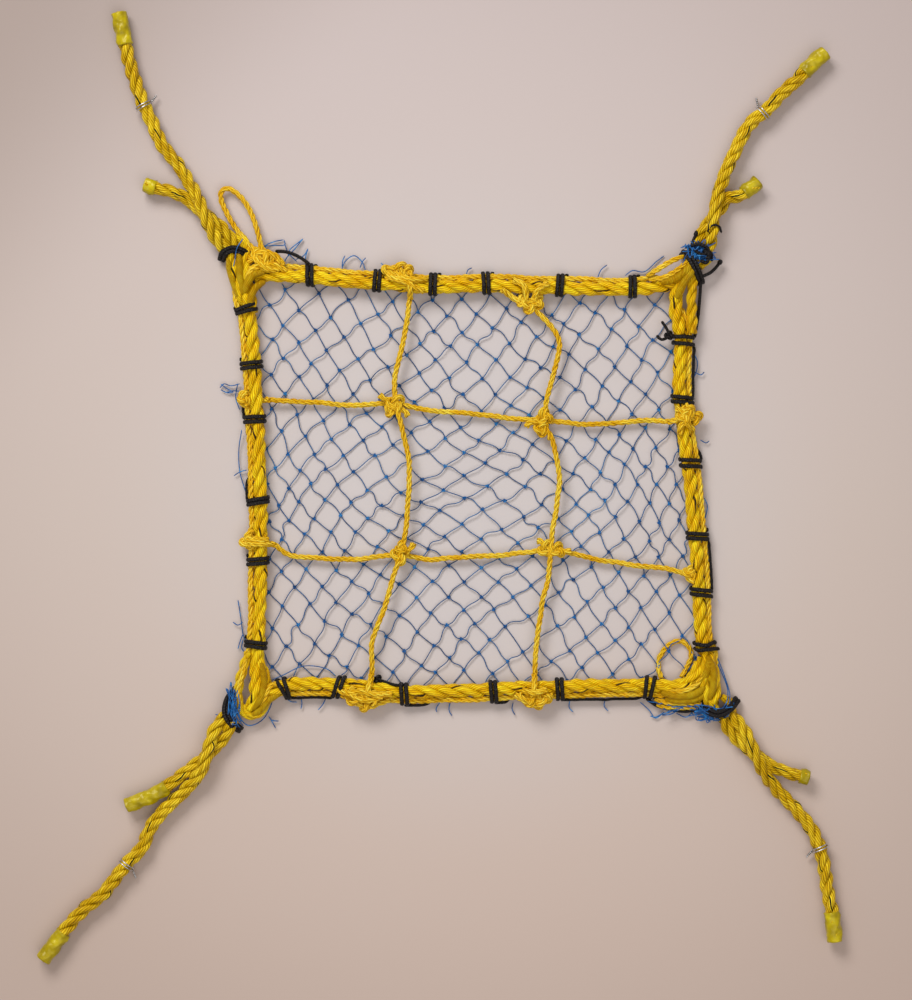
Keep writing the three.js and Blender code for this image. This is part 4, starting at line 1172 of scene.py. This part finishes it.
# Loose strands on each corner, as (look, radius, points)
STRANDS = {
    "back_left": [
        ("rope", 2.5, [(-136, 141.2, 9.5), (-142.6, 139.9, 11), (-147.2, 134.6, 11.4), (-149.2, 127.4, 10)]),
        ("rope", 2.4, [(-136, 135.3, 8.6), (-141.9, 131.3, 10), (-145.2, 124.7, 10.4),
                       (-145.9, 116.8, 9.6)]),
        ("twine", 1.9, [(-134.6, 144.5, 9), (-141.2, 144.5, 10.6), (-145.9, 141.9, 11),
                        (-148.5, 136.6, 10.4)]),
        ("rope", 2.2, [(-154.4, 156.4, 10.6), (-153.1, 148.5, 11.2), (-152.5, 137.9, 10.8),
                       (-150.5, 126.1, 9.6)]),
        ("rope", 2.0, [(-160.4, 151.1, 9), (-159.7, 143.2, 9.4), (-157.1, 134, 9.2), (-153.8, 124.7, 9)]),
    ],
    "back_right": [
        ("twine", 2.0, [(114.8, 138.6, 8.6), (123.4, 143.9, 9.4), (131.3, 148.5, 10), (139.3, 151.8, 9.6)]),
        ("twine", 2.0, [(116.2, 136, 9.2), (126.7, 137.9, 10.4), (136, 143.2, 11), (142.6, 149.2, 10.6)]),
        ("rope", 2.6, [(124.1, 134, 10), (133.3, 136.6, 11.6), (140.6, 141.9, 12.2), (145.2, 147.8, 11)]),
        ("rope", 2.5, [(134.6, 123.4, 11), (137.9, 132.7, 12), (142.6, 139.3, 12.2), (146.5, 144.5, 11)]),
    ],
    "front_left": [
        ("twine", 1.9, [(-148.5, -112.9, 9.6), (-151.1, -123.4, 10), (-153.8, -134, 9.8),
                        (-152.5, -143.2, 9)]),
        ("rope", 2.3, [(-138.6, -115.5, 10.6), (-136.6, -127.4, 11), (-138.6, -138.6, 11),
                       (-144.5, -146.5, 9.6)]),
        ("twine", 1.9, [(-124.7, -130, 9.6), (-131.3, -130, 11), (-135.3, -136, 11.2),
                        (-138.6, -144.5, 9.8)]),
        ("rope", 2.4, [(-126.1, -136, 8.6), (-132.7, -139.3, 9.4), (-138.6, -145.9, 9),
                       (-145.9, -151.1, 8)]),
    ],
    "front_right": [
        ("twine", 2.0, [(120.1, -139.9, 6), (129.4, -141.9, 6.6), (139.9, -142.6, 7.2), (151.1, -142.6, 8)]),
        ("twine", 1.9, [(121.4, -143.9, 4.6), (131.3, -145.2, 5), (142.6, -145.2, 5.6),
                        (151.8, -144.5, 6.4)]),
        ("rope", 2.7, [(124.1, -135.3, 9.2), (136, -137.3, 10), (145.9, -136, 10.6), (153.1, -131.3, 11)]),
        ("rope", 2.4, [(126.7, -139.3, 7.6), (137.9, -140.6, 8.6), (147.8, -139.3, 9), (154.4, -135.3, 10)]),
        ("twine", 1.9, [(129.4, -134, 10.6), (138.6, -134, 11.4), (147.2, -130, 11.6),
                        (151.8, -123.4, 11.6)]),
        ("rope", 2.8, [(143.9, -131.3, 9), (149.8, -127.4, 10), (154.4, -120.8, 10.4), (155.8, -112.2, 10)]),
        ("rope", 2.4, [(154.4, -110.9, 11), (158.4, -119.5, 11.2), (158.4, -130, 11), (155.8, -139.9, 10)]),
    ],
}
# Black twine over each corner: the arc of the seizing, single lines as (radius, points), small knots
SEIZING_ROW, SEIZING_UNDER_Z = 1.25, 1.3
SEIZINGS = {
    "back_left": [(-165.3, 149.2, 5), (-163.3, 153.5, 10.6), (-157.1, 156.1, 12.6), (-150.5, 154.4, 11.2),
                  (-146.5, 150.5, 5)],
    "back_right": [(137.9, 154.4, 5), (142.6, 151.1, 13), (146.5, 144.5, 13.4), (149.2, 138.6, 11),
                   (151.1, 134, 5)],
    "front_left": [(-155.1, -132.7, 5), (-160.4, -139.9, 11), (-161.7, -148.5, 12), (-157.7, -155.8, 10.6),
                   (-152.5, -160.4, 4)],
    "front_right": [(150.5, -141.9, 5), (155.1, -147.2, 11), (161.7, -149.2, 12.4), (169, -145.9, 11),
                    (174.9, -139.9, 4)],
}
BLACK_LINES = {
    "back_left": [(1.15, [(-129.4, 155.1, 8), (-121.4, 154.4, 8), (-113.5, 151.1, 8.6),
                          (-106.9, 146.5, 10)])],
    "back_right": [
        (1.2, [(143.9, 158.4, 12), (149.2, 159.1, 15), (154.4, 156.4, 14.6), (155.8, 151.1, 12)]),
        (1.2, [(151.1, 155.8, 14), (155.1, 152.5, 14.6), (153.8, 147.2, 13.4), (149.8, 148.5, 14)]),
        (1.1, [(145.9, 155.1, 14), (150.5, 152.5, 15.4), (156.4, 153.8, 13), (157.7, 148.5, 9)]),
        (1.1, [(150.5, 136, 7), (149.8, 123.4, 5.6), (148.5, 110.2, 5), (146.5, 98.3, 4.8)]),
        (1.05, [(142.6, 153.1, 12), (144.5, 159.7, 11), (147.8, 167.6, 8)]),
        (1.5, [(146.5, 165, 9), (148.2, 168.3, 8)]),
        (1.1, [(150.5, 137.9, 10), (157.1, 141.2, 8), (161.7, 145.9, 6.4), (163.7, 149.2, 6)]),
        (1.6, [(162.4, 146.5, 6.4), (164, 149.5, 6)]),
        (0.8, [(154.4, 167.6, 13), (157.7, 171.6, 15.6), (161.7, 170.9, 15.4), (163.7, 167, 12)]),
        (1.0, [(129.4, 101, 9.6), (127.4, 104.9, 9), (124.7, 108.9, 8)]),
        (1.0, [(128.7, 98.3, 8), (124.7, 97, 7), (121.4, 99.7, 6.4)]),
    ],
    "front_left": [
        (1.0, [(-147.2, -104.3, 6), (-149.2, -111.5, 5), (-151.1, -119.5, 4.6), (-153.1, -127.4, 4.8),
               (-155.1, -134.6, 6)]),
        (1.0, [(-44.9, -130.7, 9), (-51.5, -130, 9), (-58.1, -128, 7.6), (-62.7, -126.7, 6.4)]),
        (1.0, [(-63.4, -127.4, 6), (-66, -124.7, 5), (-66.7, -122.1, 4.4)]),
    ],
    "front_right": [(1.15, [(114.8, -139.3, 4.4), (121.4, -143.9, 4), (130.7, -146.5, 4),
                            (141.2, -147.8, 4.4), (151.8, -145.2, 6)])],
}
BLACK_KNOTS = {"back_right": (129.4, 99.7, 9), "front_left": (-62, -126.7, 6.6)}


def corner_eye(name):
    eye = Build()
    line = smooth(EYES[name])
    s = arc(line)
    radius = EYE_RADIUS[name] * np.interp(s, [0, 8, s[-1] - 12, s[-1]], [0.85, 1, 1, 0.7])
    laid(eye, line, radius, EYE_LAY, phase=len(name))
    for look, radius, points in STRANDS[name]:
        line = smooth(points, 0.7)
        size = radius * np.interp(np.linspace(0, 1, len(line)), [0, 0.2, 0.8, 1], [0.6, 1, 1, 0.6])
        if look == "twine":
            twined(eye, line, size, phase=radius, slot=1)
        else:
            plain(eye, line, size, sides=16)
    return eye


def corner_seizing(name):
    """Two rows of flat twine over the corner and back under it, and the single black lines."""
    seizing = Build()
    top = smooth(SEIZINGS[name])
    sideways = leftward(top)
    for row in (-SEIZING_ROW, SEIZING_ROW):
        over = top + sideways * row
        under = over[::-1].copy()
        under[:, 2] = SEIZING_UNDER_Z
        ring = smooth(np.concatenate([over[::3], under[::3], over[:3]]))
        wide = np.concatenate([sideways[::3], sideways[::-1][::3], sideways[:3]])
        share = np.linspace(0, 1, len(ring)) * (len(wide) - 1)
        strap(seizing, ring, columns(share, np.arange(len(wide)), wide))
    for radius, points in BLACK_LINES[name]:
        plain(seizing, smooth(points, 0.7), radius)
    if name in BLACK_KNOTS:
        plain(seizing, evenly(knot_loop(BLACK_KNOTS[name], 2.5, 1.0, 0.6), 0.6), 1.0)
    return seizing


for name in LEGS:
    corner_eye(name).piece(f"corner_eye_{name}", "laid", [EYE_ROPE, TWINE], "rope", half_of(name))
    corner_seizing(name).piece(f"corner_seizing_{name}", "tied", [LASHING], "lashing", half_of(name))


# ---------------------------------------------------------------- loops of twine
BACK_LOOP = [(-143.9, 155.8, 8), (-148.5, 161.7, 7), (-155.1, 169.6, 6), (-161, 179.5, 5.2),
             (-165.3, 188.8, 4.8), (-165, 194.7, 4.8), (-161, 196.7, 4.8), (-155.8, 194, 4.8),
             (-149.2, 186.8, 5.2), (-143.9, 176.2, 6), (-140.6, 166.3, 6.8), (-138.6, 156.4, 8)]
FRONT_LOOP = [(124.7, -126.1, 5), (122.8, -119.5, 2.4), (124.1, -111.5, 2.1), (130, -104.3, 2.1),
              (137.3, -101.6, 2.1), (143.2, -105.6, 2.1), (144.5, -112.2, 2.1), (141.2, -119.5, 2.4),
              (137.9, -125.4, 5)]
# The knot that holds the hanging loop on the corner: lumps as (place, size, turn), then strands
HELD_LUMPS = [((-141.9, 151.8, 8), 4.4, 0.6), ((-135.3, 149.8, 8.6), 5.2, 2.0),
              ((-129.4, 147.8, 8), 4.4, 1.1)]
CORNER_KNOT = [
    [(-147.2, 147.8, 8), (-139.3, 153.8, 11.4), (-130.7, 152.5, 10.8), (-124.1, 145.9, 8.4)],
    [(-145.9, 143.2, 9.6), (-137.3, 145.9, 12), (-129.4, 145.2, 11), (-122.1, 141.9, 8.6)],
    [(-138.6, 157.7, 7.6), (-135.3, 151.1, 12.4), (-137.3, 141.9, 11)],
    [(-143.2, 157.1, 7.6), (-142.6, 150.5, 11.6), (-134.6, 143.2, 12.4), (-127.4, 142.6, 9.6)],
]

loop = Build()
twined(loop, smooth(BACK_LOOP))
loop.piece("hanging_loop_back_left", "laid", [TWINE], "twine", "hanging_loop")

held = Build()
for place, size, turn in HELD_LUMPS:
    knot(held, place, size, HELD_HEIGHT, turn)
for points in CORNER_KNOT:
    twined(held, smooth(points), TWINE_R * 1.2, phase=points[0][2])
held.piece("corner_knot_back_left", "tied", [TWINE], "twine", "left_half", replaced=[])

trapped = Build()
twined(trapped, smooth(FRONT_LOOP), TWINE_R * 0.95)
trapped.piece("net_loop_front_right", "laid", [TWINE], "twine", "right_half")


# ---------------------------------------------------------------- floor and light
floor_mesh = bpy.data.meshes.new("floor")
floor_mesh.from_pydata([(-3, -3, 0), (3, -3, 0), (3, 3, 0), (-3, 3, 0)], [], [(0, 1, 2, 3)])
floor_mesh.materials.append(floor_material())
add_object("floor", floor_mesh)


def area_light(name, where, size, power, color):
    data = bpy.data.lights.new(name, "AREA")
    data.shape = "RECTANGLE"
    data.size, data.size_y = size
    data.energy = power
    data.color = color
    light = add_object(name, data)
    light.location = where
    light.rotation_euler = (-Vector(where)).to_track_quat("-Z", "Y").to_euler()


area_light("window", (-0.9, 1.6, 1.75), (1.35, 1.0), 46, (1.0, 0.985, 0.965))
area_light("ceiling", (0.4, -0.9, 2.2), (2.2, 2.2), 21, (1.0, 0.975, 0.95))
world = bpy.data.worlds.new("room")
world.use_nodes = True
background = world.node_tree.nodes["Background"]
background.inputs[0].default_value = (*linear(236, 228, 224), 1)
background.inputs[1].default_value = 0.42
bpy.context.scene.world = world
bpy.context.scene.view_settings.view_transform = "Standard"
